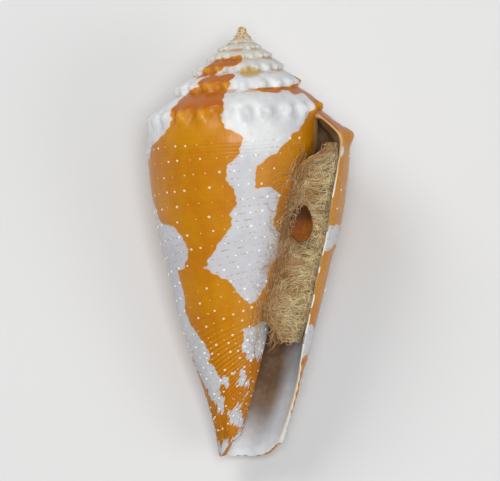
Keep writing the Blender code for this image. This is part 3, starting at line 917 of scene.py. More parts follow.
    def beads(self, mesh: Mesher) -> int:
        """Granules as small closed domes, sunk a little into the wall.

        Args:
            mesh: Gets the points and faces.
        Returns:
            How many there are.
        """
        g = self.growth
        turn, depth, size, shade = self.granules()
        clear = self.placement.world(self.wall_place(turn, depth))[:, 2] > self.bead_clearance * MM
        turn, depth, size, shade = turn[clear], depth[clear], size[clear][:, None], shade[clear]
        middle = self.wall_place(turn, depth)
        along = unit(self.wall_place(turn + 0.002, depth - 0.002 * g.pitch(depth)) - middle)
        out = unit(np.cross(along, self.wall_place(turn, depth + 0.3) - middle))
        outward = middle - np.stack((g.axis_shift(depth), 0.0 * depth, middle[:, 2]), axis=1)
        out = out * np.sign(np.sum(out * outward, axis=1, keepdims=True))
        side = np.cross(out, along)
        angle = (2.0 * np.pi * np.arange(self.bead_sides) / self.bead_sides)[None, :, None]
        named = self.values(turn, depth, marks=self.markings.read(turn, depth, g.outline(turn, depth)),
                            bead=shade)
        named = {name: np.asarray(value)[..., None] for name, value in named.items()}
        ids = []
        for reach, height in ((1.0, np.full_like(size, -0.05)), (0.72, 0.62 * self.bead_height * size)):
            spread = self.bead_radius * reach * size[:, None]
            ring = middle[:, None] + along[:, None] * np.cos(angle) * spread * 1.15
            ring = ring + side[:, None] * np.sin(angle) * spread + out[:, None] * height[:, None]
            ids.append(mesh.grid(ring, **named))
        top = mesh.grid((middle + out * self.bead_height * size)[:, None], **named)
        foot = mesh.grid((middle - out * 0.12)[:, None], **named)
        low, high = ids
        next_low, next_high = np.roll(low, -1, axis=1), np.roll(high, -1, axis=1)
        mesh.faces.append(np.stack((low, next_low, next_high, high), -1).reshape(-1, 4))
        mesh.faces.append(np.stack((high, next_high, top + 0 * high), -1).reshape(-1, 3))
        mesh.faces.append(np.stack((low, next_low, foot + 0 * low), -1).reshape(-1, 3))
        return len(turn)

    def build(self) -> bpy.types.Object:
        """Makes the shell."""
        g, whole = self.growth, self.steps
        mesh = Mesher()
        outer = self.outer(mesh)
        inside = self.columella(mesh)
        lining = self.inner_wall(mesh, inside[:, 0])
        closing = np.concatenate((outer[whole, :self.band_rows], outer[:1, 0], inside[0]))
        mesh.join(np.concatenate((outer[:whole], closing[None, :])))
        mesh.join(inside)
        spire = np.concatenate((outer[whole:, :self.band_rows], outer[:len(outer) - whole, :1]), axis=1)
        mesh.join(spire)
        self.apex(mesh, outer[len(outer) - 1 - whole:, 0], spire[-1, :-1])
        mesh.join(lining)
        self.lip(mesh, outer[:whole], lining)
        canal = round(g.canal_turns * whole)
        mesh.join(np.stack((outer[:canal + 1, -1], lining[:canal + 1, -1])))
        mesh.join(np.stack((lining[canal:, -1], inside[canal:, -1])))
        mesh.fill(np.concatenate((outer[canal:whole, -1], inside[:canal + 1, -1], lining[canal, -1:])))
        mesh.fill(np.concatenate((lining[-1], inside[-1, :0:-1])))
        beads = self.beads(mesh)
        made = mesh.build("shell_body", self.placement)
        made.data.set_sharp_from_angle(angle=np.radians(55.0))
        LOG.info("shell: %d granules", beads)
        return made


@dataclass
class CottonWad:
    """The wad in the mouth: a lumpy core, fibres wound over it and strays that lie over the wall."""

    growth: Growth
    placement: Placement
    top: float = 16.9
    bottom: float = 43.2
    inner_azimuth: float = -40.0
    outer_azimuth: float = 41.0
    gap: float = 0.3
    crown: float = 0.9
    stations: int = 150
    across: int = 60
    fibres: int = 3100
    fibre_points: int = 11
    fibre_radius: float = 0.038
    hair_radius: float = 0.028
    edge_strays: int = 360
    plate_strays: int = 190
    end_strays: int = 160

    def section(self, depth: Array, share: Array) -> tuple[Array, Array, Array]:
        """Angle, and inner and outer radius of the wad, in the room between whorl and wall.

        Args:
            depth: Depths below the apex.
            share: Shares across the wad, 0 deep in the mouth and 1 over the edge.
        Returns:
            The azimuth in radians, the radius under the wad and the radius on top of it.
        """
        g = self.growth
        along = np.clip((depth - self.top) / (self.bottom - self.top), 0.0, 1.0)
        swell = np.clip(3.0 * np.sin(np.pi * along), 0.06, 1.0) ** 0.2
        share = 0.5 + (share - 0.5) * swell
        start = np.radians(self.inner_azimuth)
        end = np.radians(self.outer_azimuth + 13.0 * eased((depth - 32.0) / 9.0))
        angle = start + (end - start) * share
        turn = (g.lip_azimuth - np.degrees(angle)) / 360.0
        held = np.maximum(turn, 0.0)
        low = g.flank_radius(turn + 1.0, depth) + self.gap
        high = g.flank_radius(held, depth) - 1.25 * g.wall(held) - self.gap
        inner_radius, inner_depth = g.suture(held)
        slope = (g.shoulder_radius(held) - inner_radius) / (g.shoulder_depth(held) - inner_depth)
        high = np.minimum(high, inner_radius + (depth - g.mouth_depth(held) - 0.35) * slope)
        mouth = np.radians(g.lip_azimuth - 5.0)
        fall = np.clip((angle - mouth) / (end - mouth), 0.0, 1.0)
        high = high + (low + 0.3 - high) * fall + self.crown * np.sin(np.pi * fall)
        spare = 0.5 * (1.0 - swell) * (high - low)
        return angle, low + spare, high - spare

    def surface(self, depth: Array, share: Array, lift: Array | float) -> Array:
        """Place on top of the wad, raised by lift; uneven by a few seeded waves each way."""
        angle, low, high = self.section(depth, share)
        lumps = 0.28 * wander(depth * 0.16 + 1.3 * share, 41) * wander(share * 2.1 + depth * 0.05, 42)
        lumps = lumps + 0.14 * wander(depth * 0.55 - 2.2 * share, 43)
        room = 0.1 + 1.9 * eased((np.degrees(angle) - self.growth.lip_azimuth + 1.0) / 7.0)
        radius = np.maximum(np.minimum(high + lumps - 0.4 + lift, high + room), low + 0.1)
        return polar(radius, angle, depth)

    def core(self) -> bpy.types.Object:
        """The closed core: an outer and an inner face, joined round their edges."""
        mesh = Mesher()
        share = np.linspace(0.0, 0.9, self.across)[None, :]
        along = np.linspace(0.0, 1.0, self.stations)[:, None]
        first, last = self.top + 1.2, self.bottom - 2.6
        depth = first + (last - first) * (0.35 * (0.5 - 0.5 * np.cos(np.pi * along)) + 0.65 * along)
        depth = depth + 0.0 * share
        closed = 1.6 * (1.0 - np.clip(np.sin(np.pi * along) * 5.0, 0.0, 1.0) ** 0.5)
        outer = self.surface(depth, share, -closed)
        angle, low, _ = self.section(depth, share)
        inner = polar(low, angle, depth)
        # shade -1 paints the core dark brown, as the shadow between the fibres
        loop = mesh.grid(np.concatenate((outer, inner[:, ::-1]), axis=1), across=0.5, shade=-1.0)
        mesh.join(np.concatenate((loop, loop[:, :1]), axis=1))
        mesh.fill(loop[0])
        mesh.fill(loop[-1])
        return mesh.build("cotton_core", self.placement)

    def tubes(self, mesh: Mesher, paths: Array, thickness: Array, shade: Array,
              across: Array) -> None:
        """Adds three-sided tubes along paths, tapered at their ends.

        The sides stand on the two directions square to the path: its cross product with a fixed
        direction, and the cross product of that with the path.

        Args:
            mesh: Gets the tubes.
            paths: Points by tube and station.
            thickness: Radius of each tube at its middle.
            shade: Tone of each tube.
            across: Share across the wad of each point.
        """
        ahead = unit(np.gradient(paths, axis=1))
        first = unit(np.cross(ahead, np.array([0.31, -0.87, 0.38])))
        second = np.cross(ahead, first)
        angle = 2.0 * np.pi * np.arange(3) / 3.0
        count = paths.shape[1]
        taper = 0.35 + 0.65 * np.sin(np.pi * (np.arange(count) + 0.5) / count) ** 0.5
        reach = (thickness[:, None] * taper)[:, :, None, None]
        rings = paths[:, :, None] + reach * (first[:, :, None] * np.cos(angle)[:, None]
                                             + second[:, :, None] * np.sin(angle)[:, None])
        mesh.join_many(mesh.grid(rings, across=across[..., None], shade=shade[:, None, None]))

    def wound(self, name: str, seed: int, low: float, high: float, bright: float) -> bpy.types.Object:
        """Fibres over the core: each wanders from a seeded start and turns as it goes.

        Args:
            name: The piece's name.
            seed: Picks the fibres.
            low: Least height over the core, in millimetres.
            high: Greatest height over the core, in millimetres.
            bright: How many fibres are light, from 0 to 1.
        Returns:
            One mesh of all the fibres.
        """
        mesh = Mesher()
        random = np.random.default_rng(seed)
        count = self.fibres
        step = np.linspace(-0.5, 0.5, self.fibre_points)[None, :]
        heading = random.uniform(-3.1, 3.1, (count, 1)) * random.uniform(0.3, 1.0, (count, 1))
        length = random.uniform(2.0, 6.5, (count, 1))
        bend = random.normal(0.0, 2.6, (count, 1))
        phase = random.uniform(0.0, 6.28, (count, 1))
        heading = heading + bend * step + 0.4 * np.sin(9.0 * step + phase)
        share = random.uniform(0.2, 1.08, (count, 1))
        past = 0.5 * (1.0 - np.cos(np.pi * np.clip(share, 0.0, 1.0)))
        last = self.bottom - 2.0 * (1.0 - past)
        depth = random.uniform(self.top - 0.3, last + 0.9 * past, (count, 1))
        depth = depth + length * np.cumsum(np.cos(heading), axis=1) / self.fibre_points
        depth = depth - 0.5 * length * np.cos(heading.mean(axis=1, keepdims=True))
        share = share + length * np.cumsum(np.sin(heading), axis=1) / self.fibre_points / 14.0
        depth = np.clip(depth, self.top - 0.8 + random.uniform(0.0, 1.2, (count, 1)),
                        last + 1.1 - random.uniform(0.0, 1.8, (count, 1)))
        share = np.clip(share, 0.05, 1.06 - 0.1 * random.uniform(size=(count, 1)))
        lift = low + (high - low) * random.uniform(0.0, 1.0, (count, 1)) ** 1.5
        lift = lift + 0.28 * np.sin(5.0 * step + phase)
        paths = self.surface(np.clip(depth, self.top + 0.5, self.bottom - 0.5), np.minimum(share, 1.0), lift)
        over = np.maximum(share - 1.0, 0.0) * np.radians(self.outer_azimuth - self.inner_azimuth)
        cosine, sine, x, y = np.cos(over), np.sin(over), paths[..., 0], paths[..., 1]
        paths = np.stack((x * cosine + y * sine, y * cosine - x * sine, -depth), axis=-1)
        light = random.uniform(size=count) < bright
        shade = np.where(light, random.uniform(0.6, 1.0, count), random.uniform(0.0, 0.45, count))
        self.tubes(mesh, paths, self.fibre_radius * random.uniform(0.6, 1.3, count), shade, share)
        return mesh.build(name, self.placement)

    def hairs(self, mesh: Mesher, start: tuple[Array, Array], seed: int,
              length: Pair, lift: Pair, over: float) -> None:
        """Thin hairs that leave their starts in any direction and curl over what lies under them.

        Args:
            mesh: Gets the hairs.
            start: Azimuth in degrees and depth of each start, as column vectors.
            seed: Picks their directions.
            length: Least and greatest length, in millimetres.
            lift: Least and greatest height over the wall, in millimetres.
            over: Height of what lies under them over the wall, in millimetres.
        """
        random = np.random.default_rng(seed)
        count = len(start[0])
        step = np.linspace(0.0, 1.0, self.fibre_points)[None, :]
        heading = random.uniform(-3.14, 3.14, (count, 1)) + random.normal(0.0, 2.8, (count, 1)) * step
        heading = heading + 0.5 * np.sin(8.0 * step + random.uniform(0.0, 6.28, (count, 1)))
        reach = random.uniform(*length, (count, 1)) / self.fibre_points
        depth = np.clip(start[1] + reach * np.cumsum(np.cos(heading), axis=1), 15.5, 47.0)
        angle = start[0] + np.degrees(reach * np.abs(np.cumsum(np.sin(heading), axis=1)) / 10.0)
        turn = np.clip(1.0 + (self.growth.lip_azimuth - angle) / 360.0, 0.6, 1.05)
        wall = self.growth.flank_radius(turn, depth) + over
        rise = random.uniform(*lift, (count, 1)) * np.sin(np.pi * (0.1 + 0.86 * step))
        radius, angle = wall + 0.12 + rise, np.radians(angle)
        paths = polar(radius, angle, depth)
        thickness = self.hair_radius * random.uniform(0.7, 1.3, count)
        self.tubes(mesh, paths, thickness, random.uniform(0.3, 1.0, size=count), np.ones_like(depth))

    def loose(self) -> bpy.types.Object:
        """Strays: hairs over the wad's edge, then some across the operculum and at the lower end."""
        mesh = Mesher()
        random = np.random.default_rng(52)
        depth = self.top + 1.0 + (self.bottom - self.top) * random.beta(1.6, 1.8, (self.edge_strays, 1))
        angle = random.uniform(36.0, 44.0, (self.edge_strays, 1)) + 20.0 * eased((depth - 32.0) / 9.0)
        self.hairs(mesh, (angle, depth), 53, (1.5, 6.5), (0.1, 0.7), 0.0)
        size = (self.plate_strays, 1)
        depth, angle = random.uniform(25.0, 30.5, size), random.uniform(31.0, 45.0, size)
        self.hairs(mesh, (angle, depth), 54, (1.5, 4.0), (0.3, 0.6), 1.7)
        size = (self.end_strays, 1)
        depth, angle = random.uniform(40.5, self.bottom, size), random.uniform(8.0, 46.0, size)
        self.hairs(mesh, (angle, depth), 56, (1.0, 3.4), (0.2, 0.9), 1.1)
        return mesh.build("cotton_strays", self.placement)

    def build(self) -> list[bpy.types.Object]:
        """Makes the core, the fibres and the strays."""
        # Painted shade: the under fibres have fewer light ones (0.35 against 0.75), so they are darker
        # beneath the top layer
        made = [self.core(), self.wound("cotton_under_fibres", 51, -0.1, 0.4, 0.35),
                self.wound("cotton_top_fibres", 55, 0.1, 1.1, 0.75), self.loose()]
        LOG.info("cotton wad: %d fibres", 2 * self.fibres)
        return made


@dataclass
class Operculum:
    """The thin horny plate that lies on the wad: an oval dome with worn edges."""

    placement: Placement
    length: float = 5.2
    width: float = 3.2
    thickness: float = 0.34
    dome: float = 0.32
    place: tuple[float, float, float] = (8.2, -7.35, -27.4)
    lean: tuple[float, float, float] = (-4.0, 6.0, 16.0)
    rings: int = 22
    sides: int = 72

    def layer(self, mesh: Mesher, side: float) -> Array:
        """One face of the plate: rings of an egg outline, raised by dome (1 - share squared).

        Args:
            mesh: Gets the face.
            side: 1 for the upper face and -1 for the lower one.
        Returns:
            Vertex numbers by ring from the edge inwards, each ring closed on its first.
        """
        share = np.linspace(1.0, 0.06, self.rings)[:, None]
        angle = 2.0 * np.pi * np.arange(self.sides)[None, :] / self.sides
        edge = 1.0 + 0.022 * wander(3.0 * np.arange(self.sides) / self.sides, 61)[None, :] * share
        narrow = 1.0 - 0.16 * np.cos(angle)
        across = 0.5 * self.width * share * np.sin(angle) * narrow * edge
        along = 0.5 * self.length * share * np.cos(angle) * edge
        height = self.dome * (1.0 - share * share) * (1.0 + 0.3 * np.cos(angle) * share)
        height = height + side * 0.5 * self.thickness * np.sqrt(1.0 - 0.8 * share ** 2)
        lines = 0.012 * np.sin(46.0 * share + 1.5 * np.sin(angle)) * ((share < 0.97) & (share > 0.3))
        height = height + (lines if side > 0 else 0.0)
        height = height + 0.05 * share * wander(share * 1.5 + 0.2 * np.sin(angle), 62)
        points = np.stack((across, -height, along), axis=-1)
        numbers = mesh.grid(self.turned(points), share=share, end=np.cos(angle) * share)
        tip = np.array([[0.0, -float(height[-1].mean()) - 0.002 * side, 0.0]])
        centre = mesh.grid(self.turned(tip), share=0.0, end=0.0)
        numbers = np.concatenate((numbers, numbers[:, :1]), axis=1)
        mesh.join(numbers)
        mesh.fan(numbers[-1], centre[0])
        return numbers

    def turned(self, points: Array) -> Array:
        """Leans the plate and moves it onto the wad, in the shell's own frame."""
        turn = Matrix.Identity(3)
        for angle, axis in zip(self.lean, "XYZ"):
            turn = Matrix.Rotation(np.radians(angle), 3, axis) @ turn
        return points @ np.array(turn).T + np.array(self.place)

    def build(self) -> bpy.types.Object:
        """Makes the plate."""
        mesh = Mesher()
        upper, lower = self.layer(mesh, 1.0), self.layer(mesh, -1.0)
        mesh.join(np.stack((upper[0], lower[0])))
        made = mesh.build("operculum_plate", self.placement)
        LOG.info("operculum: %d points", len(made.data.vertices))
        return made


class Net:
    """A short hand for building shader nodes in a material or a group."""

    def __init__(self, tree: bpy.types.NodeTree) -> None:
        """Works in the tree."""
        self.tree = tree

    def node(self, kind: str, **settings: object) -> bpy.types.Node:
        """Adds a node and sets its properties."""
        made = self.tree.nodes.new(kind)
        for name, value in settings.items():
            setattr(made, name, value)
        return made

    def feed(self, socket: Socket, value: object) -> None:
        """Links a socket into the input, or sets a plain value on it."""
        if isinstance(value, Socket):
            self.tree.links.new(value, socket)
        else:
            socket.default_value = value

    def value(self, name: str) -> Socket:
        """A named value of the surface's points."""
        return self.node("ShaderNodeAttribute", attribute_name=name).outputs["Fac"]

    def math(self, operation: str, *inputs: object) -> Socket:
        """A Math node over the inputs."""
        made = self.node("ShaderNodeMath", operation=operation)
        for socket, value in zip(made.inputs, inputs):
            self.feed(socket, value)
        return made.outputs[0]

    def times(self, *inputs: object) -> Socket:
        """Product of two values."""
        return self.math("MULTIPLY", *inputs)

    def plus(self, *inputs: object) -> Socket:
        """Sum of two values."""
        return self.math("ADD", *inputs)

    def step(self, value: object, low: float, high: float, to_low: float = 0.0,
             to_high: float = 1.0) -> Socket:
        """Smooth step from one range to another."""
        made = self.node("ShaderNodeMapRange", interpolation_type="SMOOTHSTEP")
        for name, given in (("Value", value), ("From Min", low), ("From Max", high),
                            ("To Min", to_low), ("To Max", to_high)):
            self.feed(made.inputs[name], given)
        return made.outputs["Result"]

    def mix(self, share: object, below: object, above: object, blend: str = "MIX") -> Socket:
        """Mixes two colours."""
        made = self.node("ShaderNodeMix", data_type="RGBA", blend_type=blend)
        for place, given in ((0, share), (6, below), (7, above)):
            self.feed(made.inputs[place], given)
        return made.outputs[2]

    def blend(self, share: object, below: object, above: object) -> Socket:
        """Mixes two numbers."""
        made = self.node("ShaderNodeMix", data_type="FLOAT")
        for place, given in ((0, share), (2, below), (3, above)):
            self.feed(made.inputs[place], given)
        return made.outputs[0]

    def noise(self, where: object, scale: object, detail: float = 2.0,
              rough: float = 0.5) -> Socket:
        """Noise value at the vector."""
        made = self.node("ShaderNodeTexNoise")
        for name, given in (("Vector", where), ("Scale", scale), ("Detail", detail),
                            ("Roughness", rough)):
            self.feed(made.inputs[name], given)
        return made.outputs["Fac"]

    def vector(self, x: object, y: object, z: object) -> Socket:
        """A vector from three numbers."""
        made = self.node("ShaderNodeCombineXYZ")
        for socket, value in zip(made.inputs, (x, y, z)):
            self.feed(socket, value)
        return made.outputs[0]

    def place(self) -> Socket:
        """Object coordinates, in metres."""
        return self.node("ShaderNodeTexCoord").outputs["Object"]

    def group(self, tree: bpy.types.NodeTree, **inputs: object) -> bpy.types.Node:
        """Places a node group with its own values."""
        made = self.node("ShaderNodeGroup", node_tree=tree)
        for name, value in inputs.items():
            self.feed(made.inputs[name], value)
        return made

    def bump(self, shader: bpy.types.Node, height: Socket, strength: float,
             distance: float) -> None:
        """Feeds a height to the shader's normal."""
        made = self.node("ShaderNodeBump")
        made.inputs["Strength"].default_value = strength
        made.inputs["Distance"].default_value = distance
        self.feed(made.inputs["Height"], height)
        self.feed(shader.inputs["Normal"], made.outputs["Normal"])


def linear(red: int, green: int, blue: int) -> tuple[float, float, float, float]:
    """Linear colour from display values of 0 to 255."""
    shown = np.array([red, green, blue]) / 255.0
    made = np.where(shown <= 0.04045, shown / 12.92, ((shown + 0.055) / 1.055) ** 2.4)
    return (float(made[0]), float(made[1]), float(made[2]), 1.0)


def mottle_group() -> bpy.types.NodeTree:
    """Uneven tone: two colours mixed by broad and fine noise.

    Inputs: Light, Dark, Scale, Amount. Output: Color.
    """
    tree = bpy.data.node_groups.new("mottle", "ShaderNodeTree")
    for name, kind in (("Light", "NodeSocketColor"), ("Dark", "NodeSocketColor"),
                       ("Scale", "NodeSocketFloat"), ("Amount", "NodeSocketFloat")):
        tree.interface.new_socket(name=name, in_out="INPUT", socket_type=kind)
    tree.interface.new_socket(name="Color", in_out="OUTPUT", socket_type="NodeSocketColor")
    net = Net(tree)
    given = net.node("NodeGroupInput").outputs
    out = net.node("NodeGroupOutput").inputs
    where = net.place()
    broad = net.noise(where, given["Scale"], 3.0, 0.6)
    fine = net.noise(where, net.times(given["Scale"], 6.3), 2.0, 0.5)
    both = net.plus(net.times(broad, 0.7), net.times(fine, 0.3))
    mask = net.times(net.step(both, 0.36, 0.64), given["Amount"])
    net.feed(out["Color"], net.mix(mask, given["Light"], given["Dark"]))
    return tree


def grain_group() -> bpy.types.NodeTree:
    """Height of a fine grain: small noise over a broader one.

    Inputs: Scale, Depth. Output: Height.
    """
    tree = bpy.data.node_groups.new("grain", "ShaderNodeTree")
    for name in ("Scale", "Depth"):
        tree.interface.new_socket(name=name, in_out="INPUT", socket_type="NodeSocketFloat")
    tree.interface.new_socket(name="Height", in_out="OUTPUT", socket_type="NodeSocketFloat")
    net = Net(tree)
    given = net.node("NodeGroupInput").outputs
    out = net.node("NodeGroupOutput").inputs
    where = net.place()
    small = net.noise(where, given["Scale"], 2.0, 0.6)
    broad = net.noise(where, net.times(given["Scale"], 0.22), 2.0, 0.5)
    total = net.plus(net.times(small, 0.45), broad)
    net.feed(out["Height"], net.times(total, given["Depth"]))
    return tree


@dataclass(frozen=True)
class Finish:
    """What each finish shares: a material with one Principled shader and the two node groups."""

    mottle: bpy.types.NodeTree
    grain: bpy.types.NodeTree

    def tones(self, net: Net, light: Colour, dark: Colour, scale: float, amount: float) -> Socket:
        """Two colours, mottled."""
        made = net.group(self.mottle, Light=linear(*light), Dark=linear(*dark), Scale=scale, Amount=amount)
        return made.outputs["Color"]

    def grained(self, net: Net, scale: float, depth: float) -> Socket:
        """Height of the fine grain."""
        return net.group(self.grain, Scale=scale, Depth=depth).outputs["Height"]

    def start(self, name: str, roughness: float,
              coat: float = 0.0) -> tuple[bpy.types.Material, Net, bpy.types.Node]:
        """Makes the material and returns it, its net and its shader."""
        material = bpy.data.materials.new(name)
        material.use_nodes = True
        net = Net(material.node_tree)
        shader = material.node_tree.nodes["Principled BSDF"]
        shader.inputs["Roughness"].default_value = roughness
        shader.inputs["Coat Weight"].default_value = coat
        shader.inputs["Coat Roughness"].default_value = 0.14
        return material, net, shader


@dataclass(frozen=True)
class ShellFinish(Finish):
    """Polished shell: white patches on orange, rows of dashes, growth lines and a pale mouth."""

    orange: Colour = (196, 131, 0)
    deep_orange: Colour = (180, 99, 0)
    # Deep orange of the spiral rows, also painted as shade in the knob hollows and in the furrows between
    # the cords
    row_and_shade_orange: Colour = (168, 76, 0)
    white: Colour = (219, 221, 220)
    lilac: Colour = (183, 182, 190)
    dash: Colour = (182, 134, 34)
    cream: Colour = (216, 192, 142)
    tan: Colour = (206, 182, 136)

    def make(self) -> bpy.types.Material:
        """Builds the material."""
        material, net, shader = self.start("shell_polish", 0.34, 0.08)
        shader.inputs["Specular IOR Level"].default_value = 0.28
        where = net.place()
        depth, row, bead, inside = map(net.value, ("depth", "row", "bead", "inside"))
        lines_at = net.vector(net.times(net.value("line_x"), 26.0),
                              net.times(net.value("line_y"), 26.0),
                              net.times(depth, 0.05))
        fine_lines = net.noise(lines_at, 3.0, 3.0, 0.6)
        broad_lines = net.noise(lines_at, 0.5, 2.0, 0.5)
        close = net.math("COSINE", net.times(row, 4.0 * np.pi))
        on_row = net.step(close, 0.80, 0.97)
        base = net.step(depth, 38.0, 47.0)
        ragged = net.times(net.math("SUBTRACT", net.noise(where, 430.0, 1.0, 0.4), 0.5), 1.7)
        streaks = net.noise(net.vector(net.times(row, 1.5),
                                       net.times(net.value("line_x"), 3.2),
                                       net.times(net.value("line_y"), 3.2)), 1.0, 1.0, 0.5)
        streaks = net.times(net.math("SUBTRACT", streaks, 0.5), net.times(base, 2.6))
        ragged = net.plus(net.plus(ragged, streaks), net.times(close, 0.06))
        edge = net.plus(net.value("patch"), ragged)
        white = net.step(edge, -0.08, 0.10)
        orange = self.orange_ground(net, on_row, fine_lines, base, close)
        pale = self.white_ground(net, where, on_row, edge)
        colour = net.mix(white, orange, pale)
        seam = net.times(net.step(net.value("seam"), 0.55, 0.08), net.step(depth, 13.0, 10.5))
        stain = net.times(seam, net.step(net.noise(where, 900.0, 2.0, 0.6), 0.44, 0.56))
        colour = net.mix(net.times(stain, 0.6), colour, linear(182, 128, 44))
        granule = net.mix(net.step(bead, 0.2, 0.9), linear(222, 154, 40), linear(238, 210, 178))
        granule = net.mix(white, granule, linear(244, 244, 242))
        colour = net.mix(net.step(bead, 0.0, 0.12), colour, granule)
        worn = net.step(net.plus(net.value("worn"), net.times(ragged, 0.3)), -0.25, 0.35)
        colour = net.mix(net.times(worn, 0.9), colour, linear(186, 154, 84))
        creamy = net.times(net.step(depth, 8.0, 3.0), 0.55)
        colour = net.mix(creamy, colour, linear(240, 234, 204), "MULTIPLY")
        tip = net.step(depth, 2.3, 1.1)
        colour = net.mix(tip, colour, linear(*self.tan))
        colour = net.mix(net.times(tip, net.step(net.noise(where, 2600.0, 2.0, 0.5), 0.5, 0.6)),
                         colour, linear(132, 96, 56))
        lip = net.value("lip")
        colour = net.mix(net.step(net.plus(inside, lip), 0.55, 0.9), colour, self.mouth(net, lines_at))
        colour = net.mix(net.step(lip, 0.45, 0.75), colour, linear(*self.cream))
        net.feed(shader.inputs["Base Color"], colour)
        rough = net.blend(net.noise(where, 420.0, 2.0, 0.5), 0.28, 0.46)
        net.feed(shader.inputs["Roughness"], rough)
        self.relief(net, shader, fine_lines, broad_lines)
        return material

    def orange_ground(self, net: Net, on_row: Socket, lines: Socket, base: Socket, close: Socket) -> Socket:
        """Amber with deeper orange along growth lines, deeper orange as painted shade in the hollows and
        between the lower cords, and lighter orange as a painted highlight on the knob tops.
        """
        knob = net.value("knob")
        orange = self.tones(net, self.orange, self.deep_orange, 150.0, 0.5)
        orange = net.mix(net.step(lines, 0.52, 0.74, 0.0, 0.2), orange, linear(*self.deep_orange))
        orange = net.mix(net.times(on_row, 0.11), orange, linear(*self.row_and_shade_orange))
        # Painted shade: deeper orange in the furrows between the lower cords
        painted_furrow_shade = net.times(net.step(close, 0.1, -0.9), base)
        orange = net.mix(net.times(painted_furrow_shade, 0.6), orange, linear(*self.row_and_shade_orange))
        # Painted shade: the orange darkened in the hollows between the knobs and on the ramp under the
        # suture
        painted_hollow_shade = net.math("MAXIMUM", net.step(knob, 0.0, -0.4, 0.0, 0.55), net.value("ramp"))
        orange = net.mix(net.times(painted_hollow_shade, 0.7), orange, linear(*self.row_and_shade_orange))
        # Painted highlight: lighter orange on the tops of the knobs
        return net.mix(net.step(knob, 0.12, 0.4, 0.0, 0.4), orange, linear(222, 150, 24))

    def white_ground(self, net: Net, where: Socket, on_row: Socket, edge: Socket) -> Socket:
        """Porcelain white, greyer in places and with painted shade greying it lower down the flank, with a
        warm rim and short yellow dashes on the rows.
        """
        depth = net.value("depth")
        pale = self.tones(net, self.white, self.lilac, 190.0, 0.55)
        pale = net.mix(net.step(edge, 0.7, 0.0, 0.0, 0.4), pale, linear(214, 190, 176))
        # Painted shade: from 14 to 24 mm depth the white is mixed half way to lilac grey, as the flank turns
        # away from the light
        pale = net.mix(net.step(depth, 14.0, 24.0, 0.0, 0.5), pale, linear(*self.lilac))
        broken = net.step(net.noise(where, 2500.0, 1.0, 0.5), 0.54, 0.61)
        dashes = net.times(net.times(on_row, broken), net.step(depth, 14.0, 18.0))
        return net.mix(net.times(dashes, 0.8), pale, linear(*self.dash))

    def relief(self, net: Net, shader: bpy.types.Node, fine: Socket, broad: Socket) -> None:
        """Growth lines, fine threads under the shoulder and a faint grain, as one bump."""
        depth = net.value("depth")
        under = net.times(net.step(depth, 19.5, 17.5), net.step(depth, 15.6, 16.6))
        under = net.times(under, net.step(net.value("inside"), 0.5, 0.0))
        threads = net.math("COSINE", net.times(net.value("row"), 8.0 * np.pi))
        threads = net.times(net.step(threads, -0.4, 1.0), net.times(under, 0.018))
        height = net.plus(net.times(fine, 0.03), net.times(broad, 0.05))
        height = net.plus(height, threads)
        height = net.plus(height, self.grained(net, 1300.0, 0.035))
        net.bump(shader, height, 0.75, 0.001)

    def mouth(self, net: Net, lines_at: Socket) -> Socket:
        """Colour of the mouth: bluish white by the lip, brown further in as the lining's own tint with
        painted cavity shade, violet brown at the top.
        """
        turn, depth = net.value("turn"), net.value("depth")
        reach = net.math("FRACT", turn)
        bluish = self.tones(net, (232, 234, 236), (206, 208, 214), 150.0, 0.7)
        brown = self.tones(net, (158, 128, 102), (120, 90, 68), 210.0, 0.8)
        # Brown deeper in the cavity: partly the lining's own brown tint, partly painted shade of the deep
        # cavity
        deep_tint_and_shade = net.times(net.step(reach, 0.13, 0.21), net.step(depth, 60.0, 51.0))
        colour = net.mix(deep_tint_and_shade, bluish, brown)
        violet = net.mix(net.step(net.noise(lines_at, 2.2, 2.0, 0.6), 0.45, 0.6), linear(180, 140, 96),
                         linear(222, 188, 142))
        colour = net.mix(net.step(depth, 24.0, 17.0), colour, violet)
        yellow = net.times(net.step(depth, 46.0, 52.0), net.step(reach, 0.1, 0.02))
        return net.mix(net.times(yellow, 0.5), colour, linear(212, 192, 126))


@dataclass(frozen=True)
class CottonFinish(Finish):
    """Matted cotton, tan to cream, each fibre with its own tone, and the core painted dark brown as shade
    between the fibres.
    """

    def make(self) -> bpy.types.Material:
        """Builds the material."""
        material, net, shader = self.start("matted_cotton", 0.9)
        shader.inputs["Sheen Weight"].default_value = 0.15
        shader.inputs["Sheen Roughness"].default_value = 0.5
        tone = self.tones(net, (196, 158, 96), (142, 94, 38), 200.0, 0.9)
        tone = net.mix(net.step(net.value("shade"), 0.3, 0.9, 0.0, 0.85), tone, linear(244, 228, 180))
        over = net.plus(net.value("across"), net.times(net.noise(net.place(), 500.0), 0.3))
        tone = net.mix(net.step(over, 1.03, 1.2, 0.0, 0.62), tone, linear(176, 112, 34))
        # Painted shade: shade -1, which marks the core, is dark brown and stands for the shadow in the gaps
        # between the fibres
        tone = net.mix(net.step(net.value("shade"), -0.1, -0.9, 0.0, 0.85), tone, linear(96, 62, 26))
        net.feed(shader.inputs["Base Color"], tone)
        net.bump(shader, self.grained(net, 2600.0, 0.35), 0.8, 0.001)
        return material


